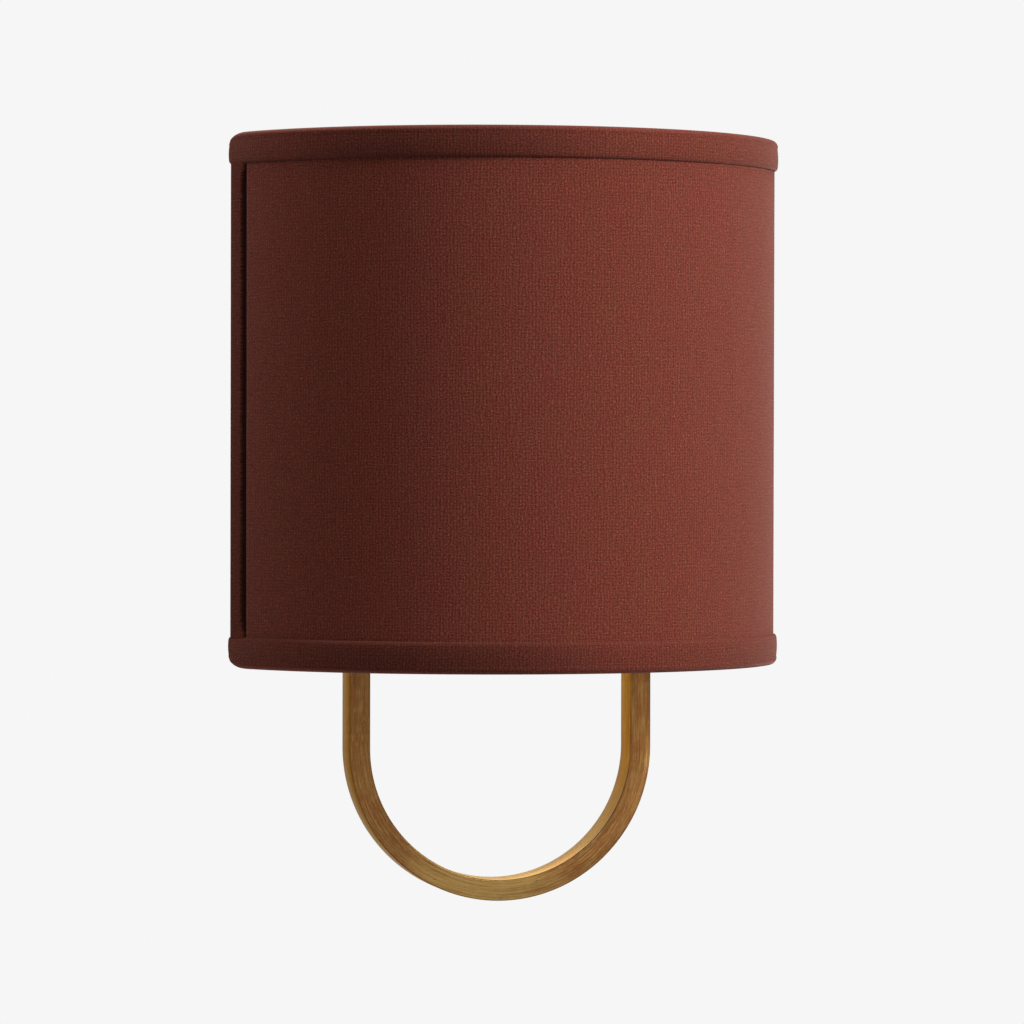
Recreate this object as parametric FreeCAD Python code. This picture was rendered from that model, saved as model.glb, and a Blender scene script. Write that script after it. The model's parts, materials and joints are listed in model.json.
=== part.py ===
import FreeCAD, Part
import math
import os

from FreeCAD import Vector

# Fabric half shade on a U of flat brass bar, for a wall. Millimetres, +Z up, the wall is the
# plane y = 0 and the room is on its -Y side. The origin is the middle of the box screw slots.

# ---- Shade outline, seen from above a flat arc with its open side to the wall
shade_width = 254.0
shade_height = 239.4
shade_bow = 88.5
shade_ahead = 9.2          # from the front of the U bar to the shade's back edge
skin_thick = 0.8           # linen on its stiff backing
liner_thick = 0.5
wire_dia = 2.6
glue_line = 0.1            # between layers that are glued or stitched together
trim_height = 14.2
trim_inner_leg = 9.0
trim_thick = 0.8
trim_round = 3.0           # the fold over the ring wire
trim_end_round = 2.4       # its corners at the shade's back edges
strip_thick = 0.5
strip_width = 10.0
strip_inner_leg = 9.0
seam_gap = 3.0             # open seam between the left strip and the skin

# ---- Parts of the shade frame that reach the wall fitting
strap_thick = 1.5
strap_height = 14.0
strap_rest_gap = 0.3
hook_depth = 8.0
hook_flare = 1.8           # the notch's mouth over its width
tab_height = 12.0
tab_above_bottom = 21.7    # its middle over the shade's lower edge
tab_reach = 8.6            # past the middle of the U's arm
bumper_dia = 7.0
bumper_neck_dia = 4.0
bumper_head_dia = 6.4
bumper_head_thick = 1.6
bumper_chamfer = 0.875
bumper_head_flat = 0.6     # of the head's radius

# ---- U bar
bar_thick = 9.525
bar_depth = 19.05
bar_edge_round = 0.7
u_width = 139.7
u_drop = 107.0             # below the shade

# ---- Backplate, a drawn steel pan between the arms
plate_height = 190.0
plate_sheet = 1.2
plate_round = 3.0
plate_fit = 0.2            # to each arm
arm_top_below = 3.0        # the arms stop short of the pan's top

# ---- Screws that hold the arms
arm_screw_dia = 5.0
arm_screw_grip = 6.5
arm_screw_z = 64.0
arm_head_dia = 9.0
arm_head_thick = 2.8
washer_dia = 11.0
washer_thick = 1.0
hole_play = 0.1            # on the radius of a screw's hole
head_flat = 0.7            # flat top of a pan head, of its radius
head_rim = 0.6             # straight rim of an arm screw's head, of its thickness
arm_slot_width = 1.2
screw_slot_depth = 1.0
earth_slot_width = 1.0

# ---- Wall bracket and its studs
bracket_width = 22.0
bracket_length = 134.0
bracket_sheet = 2.5
box_screw_spacing = 79.4
box_slot_width = 4.6
box_slot_length = 14.0
wire_hole_dia = 16.0
stud_dia = 4.0
stud_z = 58.0
stud_hole_play = 0.3       # round a stud in the pan
stud_short = 1.0           # from a stud's tip to the end of its nut's bore
stud_nut_flats = 7.0
stud_nut_thick = 3.2
nut_flange_dia = 15.0
nut_flange_thick = 2.0
nut_body_dia = 11.0
nut_body_length = 8.0
nut_dome = 2.2
nut_flutes = 18
nut_flute_dia = 1.2
nut_bore_depth = 7.5
nut_turn_fit = 0.05        # on the radius, the thread's running clearance
nut_face_gap = 0.05

# ---- Shade posts
post_x = 46.0
post_below_top = 19.0      # from the pan's top
post_neck_dia = 5.0
post_collar_dia = 9.0
post_head_thick = 2.2
post_thread_dia = 4.0
post_nut_flats = 7.0
post_nut_thick = 3.0
post_thread_past = 1.0

# ---- Yoke that carries the lampholders
lamp_x = 42.0
lamp_ahead = 41.0          # from the pan's front to the lamp's axis
shelf_above_bottom = 35.0  # from the pan's bottom
yoke_sheet = 2.0
yoke_ear = 12.0            # round the lamp's axis
yoke_leg = 16.0
yoke_bend = 3.0
yoke_bridge = 22.0
nut_window = 24.0
nut_window_depth = 14.0
rivet_x = 24.0
rivet_dia = 4.0
rivet_head_dia = 7.0
rivet_head_thick = 1.5
rivet_crown = 0.6          # flat top of a rivet's head, of its radius

# ---- Lampholders, candle sleeves
nipple_dia = 10.0
nipple_bore = 7.0
nipple_length = 20.0
nipple_in_holder = 9.0
hex_flats = 14.0
hex_thick = 4.0
holder_dia = 18.0
holder_height = 46.0
holder_wall = 1.5
shell_thick = 0.5
shell_depth = 24.0
shell_below_top = 1.0      # from the holder's rim
shell_ridge = 0.5
sleeve_dia = 22.2
sleeve_wall = 0.9
sleeve_height = 49.0
contact_dia = 5.0
contact_thick = 1.6
contact_flat = 0.8         # of the contact's radius

# ---- Bulbs
thread_dia = 11.9
thread_turns = 5
thread_depth = 0.5
cap_height = 16.0
cap_wall = 0.4
tip_dia = 5.0
tip_height = 2.4
tip_gap = 0.3
tip_flat = 0.6             # of the tip's radius
tip_rim = 1.2              # insulator round the tip
glass_dia = 35.0
glass_wall = 0.8
glass_neck_dia = 11.0
glass_height = 84.0
glass_belly = 32.0
glass_shoulder = 0.5       # how full the crown is, from the belly to the top
glass_point = 0.4          # how blunt the top is, of the belly's radius
stem_dia = 4.4
stem_height = 17.0
stem_foot_dia = 8.6
stem_rim = 1.0
stem_flat = 0.6            # of the stem's radius
filament_dia = 1.6
filament_length = 32.0
filament_ring = 4.5        # radius on which the filaments stand
filament_count = 4
support_dia = 0.7

# ---- Wiring
bush_below_yoke = 0.8
bush_hole_dia = 9.0
bush_flange_dia = 12.5
bush_flange_thick = 1.4
bush_bore = 4.4
lead_dia = 3.8
lead_bend = 9.0
lead_depth = 10.0          # from the wall, inside the pan
block_width = 34.0
block_height = 18.0
block_depth = 10.0
block_z = -22.0
block_pitch = 10.0
block_bore_dia = 4.2
block_bore_depth = 3.0
block_groove_width = 1.2
block_groove_depth = 2.0
block_screw_height = 2.0
block_slot_width = 0.7
block_slot_depth = 0.6
earth_z = 22.0
earth_screw_dia = 4.0
earth_head_dia = 8.0
earth_head_thick = 2.4
earth_ring_dia = 8.6
earth_ring_thick = 0.9
earth_lead_dia = 2.4
earth_lead_rise = 10.0     # straight up from the block
earth_lead_end = 9.0       # straight along the bracket to the ring
earth_crimp_length = 5.0
earth_crimp_grip = 0.3
earth_core_grip = 0.6      # how far the lead runs into the ring

# ---- Places worked out from the sizes above
up = Vector(0, 0, 1)
bar_front = -bar_depth
back_edge = bar_front - shade_ahead
half_width = shade_width / 2
shade_top = shade_height / 2
bow_radius = (half_width ** 2 + shade_bow ** 2) / (2 * shade_bow)
bow_y = back_edge - shade_bow + bow_radius
bow_end = math.degrees(math.atan2(half_width, bow_radius - shade_bow))

strip_outer = bow_radius - trim_thick - glue_line
skin_outer = strip_outer - strip_thick - glue_line
liner_outer = skin_outer - skin_thick - glue_line
wire_outer = liner_outer - liner_thick - glue_line
wire_ring = wire_outer - wire_dia / 2
trim_inner = wire_outer - wire_dia - glue_line - trim_thick
ring_z = shade_top - trim_round
tab_z = tab_above_bottom - shade_top

arm_x = (u_width - bar_thick) / 2
arm_inside = u_width / 2 - bar_thick
arc_z = -shade_top - u_drop + u_width / 2
plate_front = bar_front
plate_half = arm_inside - plate_fit
plate_top = plate_height / 2
plate_back_of_front = plate_front + plate_sheet
arm_top = plate_top - arm_top_below
post_z = plate_top - post_below_top
shelf_z = shelf_above_bottom - plate_top
lamp_y = plate_front - lamp_ahead
yoke_low = shelf_z - yoke_sheet - yoke_leg
bush_z = yoke_low - bush_below_yoke - bush_flange_dia / 2
lamp_sides = (("left", -1), ("right", 1))


def turn(length):
    """Angle at the shade's outline that is this long."""
    return math.degrees(length / bow_radius)


strip_end = bow_end - turn(trim_thick + glue_line)
layer_end = strip_end - turn(strip_thick + glue_line)
upright_turn = layer_end - turn(wire_dia / 2)
upright_x = wire_ring * math.sin(math.radians(upright_turn))
upright_y = bow_y - wire_ring * math.cos(math.radians(upright_turn))
strap_back = upright_y + strap_thick / 2
strap_front = upright_y - strap_thick / 2


# ---- Helpers
def block(x0, x1, y0, y1, z0, z1):
    return Part.makeBox(x1 - x0, y1 - y0, z1 - z0, Vector(x0, y0, z0))


def polygon(points):
    return Part.Face(Part.makePolygon(points + points[:1]))


def turned_z(x, y, profile):
    """Solid of revolution about a vertical axis, from (radius, z) points."""
    face = polygon([Vector(x + r, y, z) for r, z in profile])
    return face.revolve(Vector(x, y, 0), up, 360)


def turned_y(x, z, profile):
    """Solid of revolution about an axis square to the wall, from (radius, y) points."""
    face = polygon([Vector(x + r, y, z) for r, y in profile])
    return face.revolve(Vector(x, 0, z), Vector(0, 1, 0), 360)


def turned_x(y, z, profile):
    """Solid of revolution about an axis across the object, from (radius, x) points."""
    face = polygon([Vector(x, y, z + r) for r, x in profile])
    return face.revolve(Vector(0, y, z), Vector(1, 0, 0), 360)


def disc_y(x, z, radius, y0, y1):
    """Round bar square to the wall, between two depths."""
    return Part.makeCylinder(radius, y1 - y0, Vector(x, y0, z), Vector(0, 1, 0))


def disc_z(x, y, radius, z0, z1):
    return Part.makeCylinder(radius, z1 - z0, Vector(x, y, z0), up)


def hexagon(centre, axis, flats, thick):
    """Hexagonal prism that starts at centre and runs along axis."""
    radius = flats / 2 / math.cos(math.pi / 6)
    corners = []
    for k in range(6):
        angle = k * math.pi / 3
        corners.append(Vector(radius * math.cos(angle), radius * math.sin(angle), 0))
    prism = polygon(corners).extrude(Vector(0, 0, thick))
    prism.Placement = FreeCAD.Placement(centre, FreeCAD.Rotation(up, axis))
    return prism


def mirrored(shape):
    return shape.mirror(Vector(0, 0, 0), Vector(1, 0, 0))


def band(r_in, r_out, z0, z1, turn0, turn1):
    """Curved wall about the bow's axis. Turns are counted from the front towards +X."""
    corners = [(r_in, z0), (r_out, z0), (r_out, z1), (r_in, z1)]
    face = polygon([Vector(0, bow_y - r, z) for r, z in corners])
    return along_bow(face, turn0, turn1)


def along_bow(face, turn0, turn1):
    wall = face.revolve(Vector(0, bow_y, 0), up, turn1 - turn0)
    wall.rotate(Vector(0, bow_y, 0), up, turn0)
    return wall


def rounded_route(points, bend):
    """Wire of straight runs joined by tangent arcs."""
    edges = []
    start = points[0]
    for before, corner, after in zip(points, points[1:], points[2:]):
        inward = (before - corner).normalize()
        outward = (after - corner).normalize()
        half = inward.getAngle(outward) / 2
        reach = bend / math.tan(half)
        entry = corner + inward * reach
        leave = corner + outward * reach
        middle = (inward + outward).normalize()
        crest = corner + middle * (bend / math.sin(half) - bend)
        edges.append(Part.LineSegment(start, entry).toShape())
        edges.append(Part.Arc(entry, crest, leave).toShape())
        start = leave
    edges.append(Part.LineSegment(start, points[-1]).toShape())
    return Part.Wire(edges)


def tube(points, dia, bend):
    path = rounded_route(points, bend)
    circle = Part.makeCircle(dia / 2, points[0], points[1] - points[0])
    pipe = Part.BRepOffsetAPI.MakePipeShell(path)
    pipe.add(Part.Wire([circle]))
    pipe.build()
    pipe.makeSolid()
    solid = pipe.shape()
    section = math.pi * dia ** 2 / 4
    print("lead %.1f mm long, volume over section times length %.4f"
          % (path.Length, solid.Volume / section / path.Length))
    return solid


# ---- U bar and what holds it
def arm_screw_places():
    return [(side, z) for side in (-1, 1) for z in (-arm_screw_z, arm_screw_z)]


def u_frame():
    """Flat bar bent on edge into a U, its two arms up behind the shade."""
    outer = u_width / 2
    inner = arm_inside

    def half_round(radius):
        arms = block(-radius, radius, bar_front, 0, arc_z, arm_top)
        return arms.fuse(disc_y(0, arc_z, radius, bar_front, 0)).removeSplitter()

    bar = half_round(outer).cut(half_round(inner))
    cutter = block(-inner, inner, bar_front, 0, arc_z, arm_top)
    bar = bar.cut(cutter).removeSplitter()
    long_edges = []
    for edge in bar.Edges:
        box = edge.BoundBox
        if box.YLength < bar_edge_round and edge.Length > bar_depth:
            long_edges.append(edge)
    bar = bar.makeFillet(min(bar_edge_round, bar_thick / 4), long_edges)
    for side, z in arm_screw_places():
        x0 = side * (arm_inside - bar_thick)
        x1 = side * (arm_inside + arm_screw_grip + hole_play)
        radius = arm_screw_dia / 2 + hole_play
        bar = bar.cut(turned_x(bar_front / 2, z, [(0, x0), (radius, x0), (radius, x1), (0, x1)]))
    return bar


def u_frame_screws():
    """Four pan head screws, from inside the pan into the arms."""
    screws = []
    seat = plate_half - plate_sheet - washer_thick
    shank = arm_screw_dia / 2
    head = arm_head_dia / 2
    rim = arm_head_thick * head_rim
    for side, z in arm_screw_places():
        profile = [(0, side * (arm_inside + arm_screw_grip)),
                   (shank, side * (arm_inside + arm_screw_grip)),
                   (shank, side * seat),
                   (head, side * seat),
                   (head, side * (seat - rim)),
                   (head * head_flat, side * (seat - arm_head_thick)),
                   (0, side * (seat - arm_head_thick))]
        screw = turned_x(bar_front / 2, z, profile)
        slot_x = side * (seat - arm_head_thick)
        slot_end = slot_x + side * screw_slot_depth
        slot = block(min(slot_x, slot_end), max(slot_x, slot_end), bar_front / 2 - head,
                     bar_front / 2 + head, z - arm_slot_width / 2, z + arm_slot_width / 2)
        screws.append(screw.cut(slot))
    return Part.makeCompound(screws)


def u_frame_washers():
    rings = []
    x0 = plate_half - plate_sheet - washer_thick
    x1 = plate_half - plate_sheet
    bore = arm_screw_dia / 2 + hole_play
    for side, z in arm_screw_places():
        profile = [(bore, side * x0), (washer_dia / 2, side * x0),
                   (washer_dia / 2, side * x1), (bore, side * x1)]
        rings.append(turned_x(bar_front / 2, z, profile))
    return Part.makeCompound(rings)


def backplate():
    """Drawn pan with rounded front edges, open to the wall, holes for all it carries."""

    def pan(inset, round_radius):
        half = plate_half - inset
        top = plate_top - inset
        solid = block(-half, half, plate_front + inset, inset, -top, top)
        front = []
        for edge in solid.Edges:
            box = edge.BoundBox
            at_front = box.YMax < plate_front + inset + hole_play
            if at_front or box.YLength > plate_sheet:
                front.append(edge)
        return solid.makeFillet(round_radius, front)

    body = pan(0, plate_round).cut(pan(plate_sheet, plate_round - plate_sheet))
    body = body.cut(block(-plate_half, plate_half, 0, plate_sheet, -plate_top, plate_top))
    y0 = plate_front - plate_sheet
    y1 = plate_front + 2 * plate_sheet
    for z in (-stud_z, stud_z):
        body = body.cut(disc_y(0, z, stud_dia / 2 + stud_hole_play, y0, y1))
    for side in (-1, 1):
        body = body.cut(disc_y(side * post_x, post_z, post_thread_dia / 2 + hole_play, y0, y1))
        body = body.cut(disc_y(side * rivet_x, rivet_z(), rivet_dia / 2, y0, y1))
        body = body.cut(disc_y(side * lamp_x, bush_z, bush_hole_dia / 2, y0, y1))
    for side, z in arm_screw_places():
        x0 = side * (plate_half - 2 * plate_sheet)
        x1 = side * (plate_half + plate_sheet)
        radius = arm_screw_dia / 2 + hole_play
        body = body.cut(turned_x(bar_front / 2, z, [(0, x0), (radius, x0), (radius, x1), (0, x1)]))
    return body


# ---- Wall bracket, studs and cap nuts
def mounting_bracket():
    """Strip with round ends, slots for the box screws and a hole for the supply wires."""
    half = bracket_width / 2
    reach = bracket_length / 2 - half
    strip = block(-half, half, -bracket_sheet, 0, -reach, reach)
    for z in (-reach, reach):
        strip = strip.fuse(disc_y(0, z, half, -bracket_sheet, 0))
    strip = strip.removeSplitter()
    slot_half = box_slot_width / 2
    slot_reach = (box_slot_length - box_slot_width) / 2
    for middle in (-box_screw_spacing / 2, box_screw_spacing / 2):
        slot = block(-slot_half, slot_half, -bracket_sheet, 0, middle - slot_reach, middle + slot_reach)
        for z in (middle - slot_reach, middle + slot_reach):
            slot = slot.fuse(disc_y(0, z, slot_half, -bracket_sheet, 0))
        strip = strip.cut(slot)
    strip = strip.cut(disc_y(0, 0, wire_hole_dia / 2, -bracket_sheet, 0))
    strip = strip.cut(disc_y(0, earth_z, earth_screw_dia / 2, -bracket_sheet, 0))
    for z in (-stud_z, stud_z):
        strip = strip.cut(disc_y(0, z, stud_dia / 2, -bracket_sheet, 0))
    return strip


def stud_tip():
    return plate_front - nut_face_gap - nut_bore_depth + stud_short


def bracket_studs():
    chamfer = stud_dia / 8
    studs = []
    for z in (-stud_z, stud_z):
        profile = [(0, 0), (stud_dia / 2 - chamfer, 0), (stud_dia / 2, -chamfer),
                   (stud_dia / 2, stud_tip() + chamfer), (stud_dia / 2 - chamfer, stud_tip()),
                   (0, stud_tip())]
        studs.append(turned_y(0, z, profile))
    return Part.makeCompound(studs)


def stud_nuts():
    nuts = []
    for z in (-stud_z, stud_z):
        nut = hexagon(Vector(0, -bracket_sheet, z), Vector(0, -1, 0), stud_nut_flats, stud_nut_thick)
        nuts.append(nut.cut(disc_y(0, z, stud_dia / 2, -bracket_sheet - stud_nut_thick, -bracket_sheet)))
    return Part.makeCompound(nuts)


def cap_nut(z):
    """Fluted cap nut that holds the pan on a stud, turned by hand."""
    back = plate_front - nut_face_gap
    flange = nut_flange_dia / 2
    body = nut_body_dia / 2
    front = back - nut_flange_thick - nut_body_length
    profile = [(0, back), (flange, back), (flange, back - nut_flange_thick),
               (body, back - nut_flange_thick), (body, front + nut_dome / 2),
               (body - nut_dome / 2, front), (0, front)]
    nut = turned_y(0, z, profile)
    for k in range(nut_flutes):
        angle = 2 * math.pi * k / nut_flutes
        flute = disc_y(body * math.cos(angle), z + body * math.sin(angle), nut_flute_dia / 2,
                       front, back - nut_flange_thick)
        nut = nut.cut(flute)
    bore = disc_y(0, z, stud_dia / 2 + nut_turn_fit, back - nut_bore_depth, back)
    return nut.cut(bore)


def earth_screw():
    """Pan head screw in the bracket, with the earth lead's ring under it."""
    seat = -bracket_sheet - earth_ring_thick
    head = earth_head_dia / 2
    shank = earth_screw_dia / 2
    profile = [(0, 0), (shank, 0), (shank, seat), (head, seat),
               (head, seat - earth_head_thick / 2), (head * head_flat, seat - earth_head_thick),
               (0, seat - earth_head_thick)]
    screw = turned_y(0, earth_z, profile)
    top = seat - earth_head_thick
    slot = block(-head, head, top, top + screw_slot_depth,
                 earth_z - earth_slot_width / 2, earth_z + earth_slot_width / 2)
    return screw.cut(slot)


# ---- Posts that the shade hangs on
def shade_posts():
    """Shouldered posts: a collar behind the strap, a neck in its notch, a head in front."""
    thread_end = plate_back_of_front + post_nut_thick + post_thread_past
    collar_front = strap_back + strap_rest_gap
    head_back = strap_front - strap_rest_gap
    thread = post_thread_dia / 2
    collar = post_collar_dia / 2
    neck = post_neck_dia / 2
    chamfer = post_head_thick / 3
    posts = []
    for side in (-1, 1):
        profile = [(0, thread_end), (thread, thread_end), (thread, plate_front),
                   (collar, plate_front), (collar, collar_front), (neck, collar_front),
                   (neck, head_back), (collar, head_back),
                   (collar, head_back - post_head_thick + chamfer),
                   (collar - chamfer, head_back - post_head_thick),
                   (0, head_back - post_head_thick)]
        posts.append(turned_y(side * post_x, post_z, profile))
    return Part.makeCompound(posts)


def post_nuts():
    nuts = []
    for side in (-1, 1):
        start = Vector(side * post_x, plate_back_of_front, post_z)
        nut = hexagon(start, Vector(0, 1, 0), post_nut_flats, post_nut_thick)
        bore = disc_y(side * post_x, post_z, post_thread_dia / 2, plate_back_of_front,
                      plate_back_of_front + post_nut_thick)
        nuts.append(nut.cut(bore))
    return Part.makeCompound(nuts)


# ---- Yoke and lampholders
def rivet_z():
    return shelf_z - yoke_sheet - yoke_leg / 2 - yoke_bend / 2


def lamp_yoke():
    """Bent sheet: a leg on the pan, a shelf with an ear for each lampholder."""
    half = lamp_x + yoke_ear
    shelf_top = shelf_z
    shelf_low = shelf_z - yoke_sheet
    leg_front = plate_front - yoke_sheet
    leg_low = yoke_low
    shelf = block(-half, half, lamp_y, plate_front, shelf_low, shelf_top)
    for side in (-1, 1):
        shelf = shelf.fuse(disc_z(side * lamp_x, lamp_y, yoke_ear, shelf_low, shelf_top))
    gap = half - 2 * yoke_ear
    bridge_front = plate_front - yoke_bridge
    shelf = shelf.cut(block(-gap, gap, lamp_y - yoke_ear, bridge_front, shelf_low, shelf_top))
    leg = block(-half, half, leg_front, plate_front, leg_low, shelf_top)
    yoke = shelf.fuse(leg).removeSplitter()
    outer_edge = [edge for edge in yoke.Edges
                  if abs(edge.BoundBox.YMin - plate_front) < hole_play
                  and abs(edge.BoundBox.ZMax - shelf_top) < hole_play
                  and edge.BoundBox.XLength > half]
    inner_edge = [edge for edge in yoke.Edges
                  if abs(edge.BoundBox.YMax - leg_front) < hole_play
                  and abs(edge.BoundBox.ZMin - shelf_low) < hole_play
                  and edge.BoundBox.XLength > half
                  and edge.BoundBox.ZLength < hole_play]
    yoke = yoke.makeFillet(yoke_bend, outer_edge + inner_edge)
    # A window in the bend clears the lower cap nut and its stud
    window = nut_window / 2
    yoke = yoke.cut(block(-window, window, plate_front - nut_window_depth, plate_front,
                          leg_low, shelf_top))
    for side in (-1, 1):
        yoke = yoke.cut(disc_z(side * lamp_x, lamp_y, nipple_dia / 2 + hole_play, shelf_low, shelf_top))
        yoke = yoke.cut(disc_y(side * rivet_x, rivet_z(), rivet_dia / 2, leg_front, plate_front))
    return yoke


def yoke_rivets():
    """Rivets through the yoke's leg and the pan, with a domed head each side."""
    back = plate_back_of_front
    front = plate_front - yoke_sheet
    head = rivet_head_dia / 2
    crown = head * rivet_crown
    shank = rivet_dia / 2
    rivets = []
    for side in (-1, 1):
        profile = [(0, back + rivet_head_thick), (crown, back + rivet_head_thick), (head, back),
                   (shank, back), (shank, front), (head, front), (crown, front - rivet_head_thick),
                   (0, front - rivet_head_thick)]
        rivets.append(turned_y(side * rivet_x, rivet_z(), profile))
    return Part.makeCompound(rivets)


def nipple_bottom():
    return shelf_z + nipple_in_holder - nipple_length


def lamp_nipples():
    bore = nipple_bore / 2
    outer = nipple_dia / 2
    top = shelf_z + nipple_in_holder
    nipples = []
    for side in (-1, 1):
        profile = [(bore, nipple_bottom()), (outer, nipple_bottom()), (outer, top), (bore, top)]
        nipples.append(turned_z(side * lamp_x, lamp_y, profile))
    return Part.makeCompound(nipples)


def nipple_nuts():
    nuts = []
    top = shelf_z - yoke_sheet
    for side in (-1, 1):
        nut = hexagon(Vector(side * lamp_x, lamp_y, top), Vector(0, 0, -1), hex_flats, hex_thick)
        nuts.append(nut.cut(disc_z(side * lamp_x, lamp_y, nipple_dia / 2, top - hex_thick, top)))
    return Part.makeCompound(nuts)


shell_top = shelf_z + holder_height - shell_below_top
shell_floor = shell_top - shell_depth
shell_inner = holder_dia / 2 - holder_wall - glue_line - shell_thick
cap_bottom = shell_floor + shell_thick + contact_thick + tip_gap + tip_height
cap_top = cap_bottom + cap_height


def lampholder(side):
    """Moulded body: nipple socket below, a lead way, and the bore for the screw shell."""
    outer = holder_dia / 2
    bore = outer - holder_wall
    way = nipple_bore / 2
    socket = nipple_dia / 2
    top = shelf_z + holder_height
    socket_top = shelf_z + nipple_in_holder
    floor = shell_floor - glue_line
    profile = [(socket, shelf_z), (outer, shelf_z), (outer, top), (bore, top), (bore, floor),
               (way, floor), (way, socket_top), (socket, socket_top)]
    return turned_z(side * lamp_x, lamp_y, profile)


def screw_shell(side):
    """Rolled brass shell. Its ridges stand outside the bulb's thread and clear of it."""
    outer = shell_inner + shell_thick
    hole = contact_dia / 2 + shell_thick
    pitch = shell_depth / (2 * thread_turns + 2)
    profile = [(hole, shell_floor), (outer, shell_floor)]
    z = shell_floor + pitch
    for k in range(thread_turns):
        profile += [(outer, z), (outer - shell_ridge, z + pitch / 2), (outer, z + pitch)]
        z += 2 * pitch
    profile += [(outer, shell_top), (shell_inner, shell_top)]
    for k in range(thread_turns):
        z -= 2 * pitch
        profile += [(shell_inner, z + pitch), (shell_inner - shell_ridge, z + pitch / 2),
                    (shell_inner, z)]
    profile += [(shell_inner, shell_floor + shell_thick), (hole, shell_floor + shell_thick)]
    return turned_z(side * lamp_x, lamp_y, profile)


def centre_contact(side):
    """Brass contact that stands on the holder's floor over the lead way."""
    radius = contact_dia / 2
    floor = shell_floor - glue_line
    foot = nipple_bore / 2 + holder_wall / 2
    top = shell_floor + shell_thick + contact_thick
    shell_hole = contact_dia / 2 + shell_thick
    profile = [(0, floor - holder_wall), (nipple_bore / 2, floor - holder_wall),
               (nipple_bore / 2, floor), (min(foot, shell_hole - glue_line), floor),
               (radius, top - contact_thick / 2), (radius * contact_flat, top), (0, top)]
    return turned_z(side * lamp_x, lamp_y, profile)


def candle_sleeve(side):
    """Card tube over the lampholder, its top edge rolled in a little."""
    outer = sleeve_dia / 2
    inner = outer - sleeve_wall
    top = shelf_z + sleeve_height
    roll = sleeve_wall
    profile = [(inner, shelf_z), (outer, shelf_z), (outer, top - roll), (outer - roll / 2, top),
               (inner - roll / 2, top), (inner - roll / 2, top - roll), (inner, top - 2 * roll)]
    return turned_z(side * lamp_x, lamp_y, profile)


# ---- Bulbs
def bulb_cap(side):
    """Screw cap of the bulb, rolled with a rounded thread."""
    outer = thread_dia / 2
    pitch = cap_height / (2 * thread_turns + 2)
    foot = tip_dia / 2 + tip_rim
    profile = [(foot, cap_bottom), (outer - thread_depth, cap_bottom + pitch / 2)]
    z = cap_bottom + pitch
    for k in range(thread_turns):
        profile += [(outer - thread_depth, z), (outer, z + pitch / 2), (outer - thread_depth, z + pitch)]
        z += 2 * pitch
    inner = outer - thread_depth - cap_wall
    profile += [(outer, cap_top - cap_wall), (outer, cap_top), (inner, cap_top),
                (inner, cap_bottom + pitch), (foot - cap_wall, cap_bottom + cap_wall)]
    return turned_z(side * lamp_x, lamp_y, profile)


def bulb_tip(side):
    """Insulator in the foot of the cap, with the solder tip below it."""
    inner = tip_dia / 2 + tip_rim - cap_wall - glue_line
    tip = tip_dia / 2
    low = cap_bottom - tip_height
    profile = [(0, low), (tip * tip_flat, low), (tip, low + tip_height / 2), (inner, cap_bottom),
               (inner, cap_bottom + cap_wall), (0, cap_bottom + cap_wall)]
    return turned_z(side * lamp_x, lamp_y, profile)


def glass_outline(side, inset):
    """Candle bulb's outline as two Bezier curves, from the neck to the belly to the crown."""
    x = side * lamp_x
    neck = glass_neck_dia / 2 - inset
    belly = glass_dia / 2 - inset
    base = cap_top
    mid = base + glass_belly
    crown = base + glass_height - inset
    lower = Part.BezierCurve()
    lower.setPoles([Vector(x + neck, lamp_y, base),
                    Vector(x + neck, lamp_y, base + glass_belly / 2),
                    Vector(x + belly, lamp_y, base + glass_belly / 2),
                    Vector(x + belly, lamp_y, mid)])
    upper = Part.BezierCurve()
    shoulder = mid + (glass_height - glass_belly) * glass_shoulder
    upper.setPoles([Vector(x + belly, lamp_y, mid),
                    Vector(x + belly, lamp_y, shoulder),
                    Vector(x + belly * glass_point, lamp_y, crown),
                    Vector(x, lamp_y, crown)])
    return lower.toShape(), upper.toShape()


def bulb_glass(side):
    x = side * lamp_x
    outer_low, outer_high = glass_outline(side, 0)
    inner_low, inner_high = glass_outline(side, glass_wall)
    neck = glass_neck_dia / 2
    foot = Part.LineSegment(Vector(x + neck - glass_wall, lamp_y, cap_top),
                            Vector(x + neck, lamp_y, cap_top)).toShape()
    crown = cap_top + glass_height
    close = Part.LineSegment(Vector(x, lamp_y, crown),
                             Vector(x, lamp_y, crown - glass_wall)).toShape()
    wire = Part.Wire(Part.__sortEdges__([foot, outer_low, outer_high, close, inner_high, inner_low]))
    return Part.Face(wire).revolve(Vector(x, lamp_y, 0), up, 360)


def bulb_stem(side):
    """Glass mount: a flared foot in the neck and a stem up to the filaments."""
    foot = stem_foot_dia / 2
    stem = stem_dia / 2
    top = cap_top + stem_height
    profile = [(0, cap_top), (foot, cap_top), (foot, cap_top + stem_rim), (stem, cap_top + foot),
               (stem, top - stem_rim), (stem * stem_flat, top), (0, top)]
    return turned_z(side * lamp_x, lamp_y, profile)


def bulb_supports(side):
    """Centre wire with a star of short arms at each end of the filaments."""
    radius = support_dia / 2
    x = side * lamp_x
    low = cap_top + stem_height + 2 * radius
    high = low + filament_length + 2 * radius
    wires = disc_z(x, lamp_y, radius, cap_top + stem_height, high + radius)
    for k in range(filament_count):
        angle = 2 * math.pi * (k + 0.5) / filament_count
        away = Vector(math.cos(angle), math.sin(angle), 0)
        for z in (low, high):
            wires = wires.fuse(Part.makeCylinder(radius, filament_ring + filament_dia / 2,
                                                 Vector(x, lamp_y, z), away))
    return wires


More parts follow.
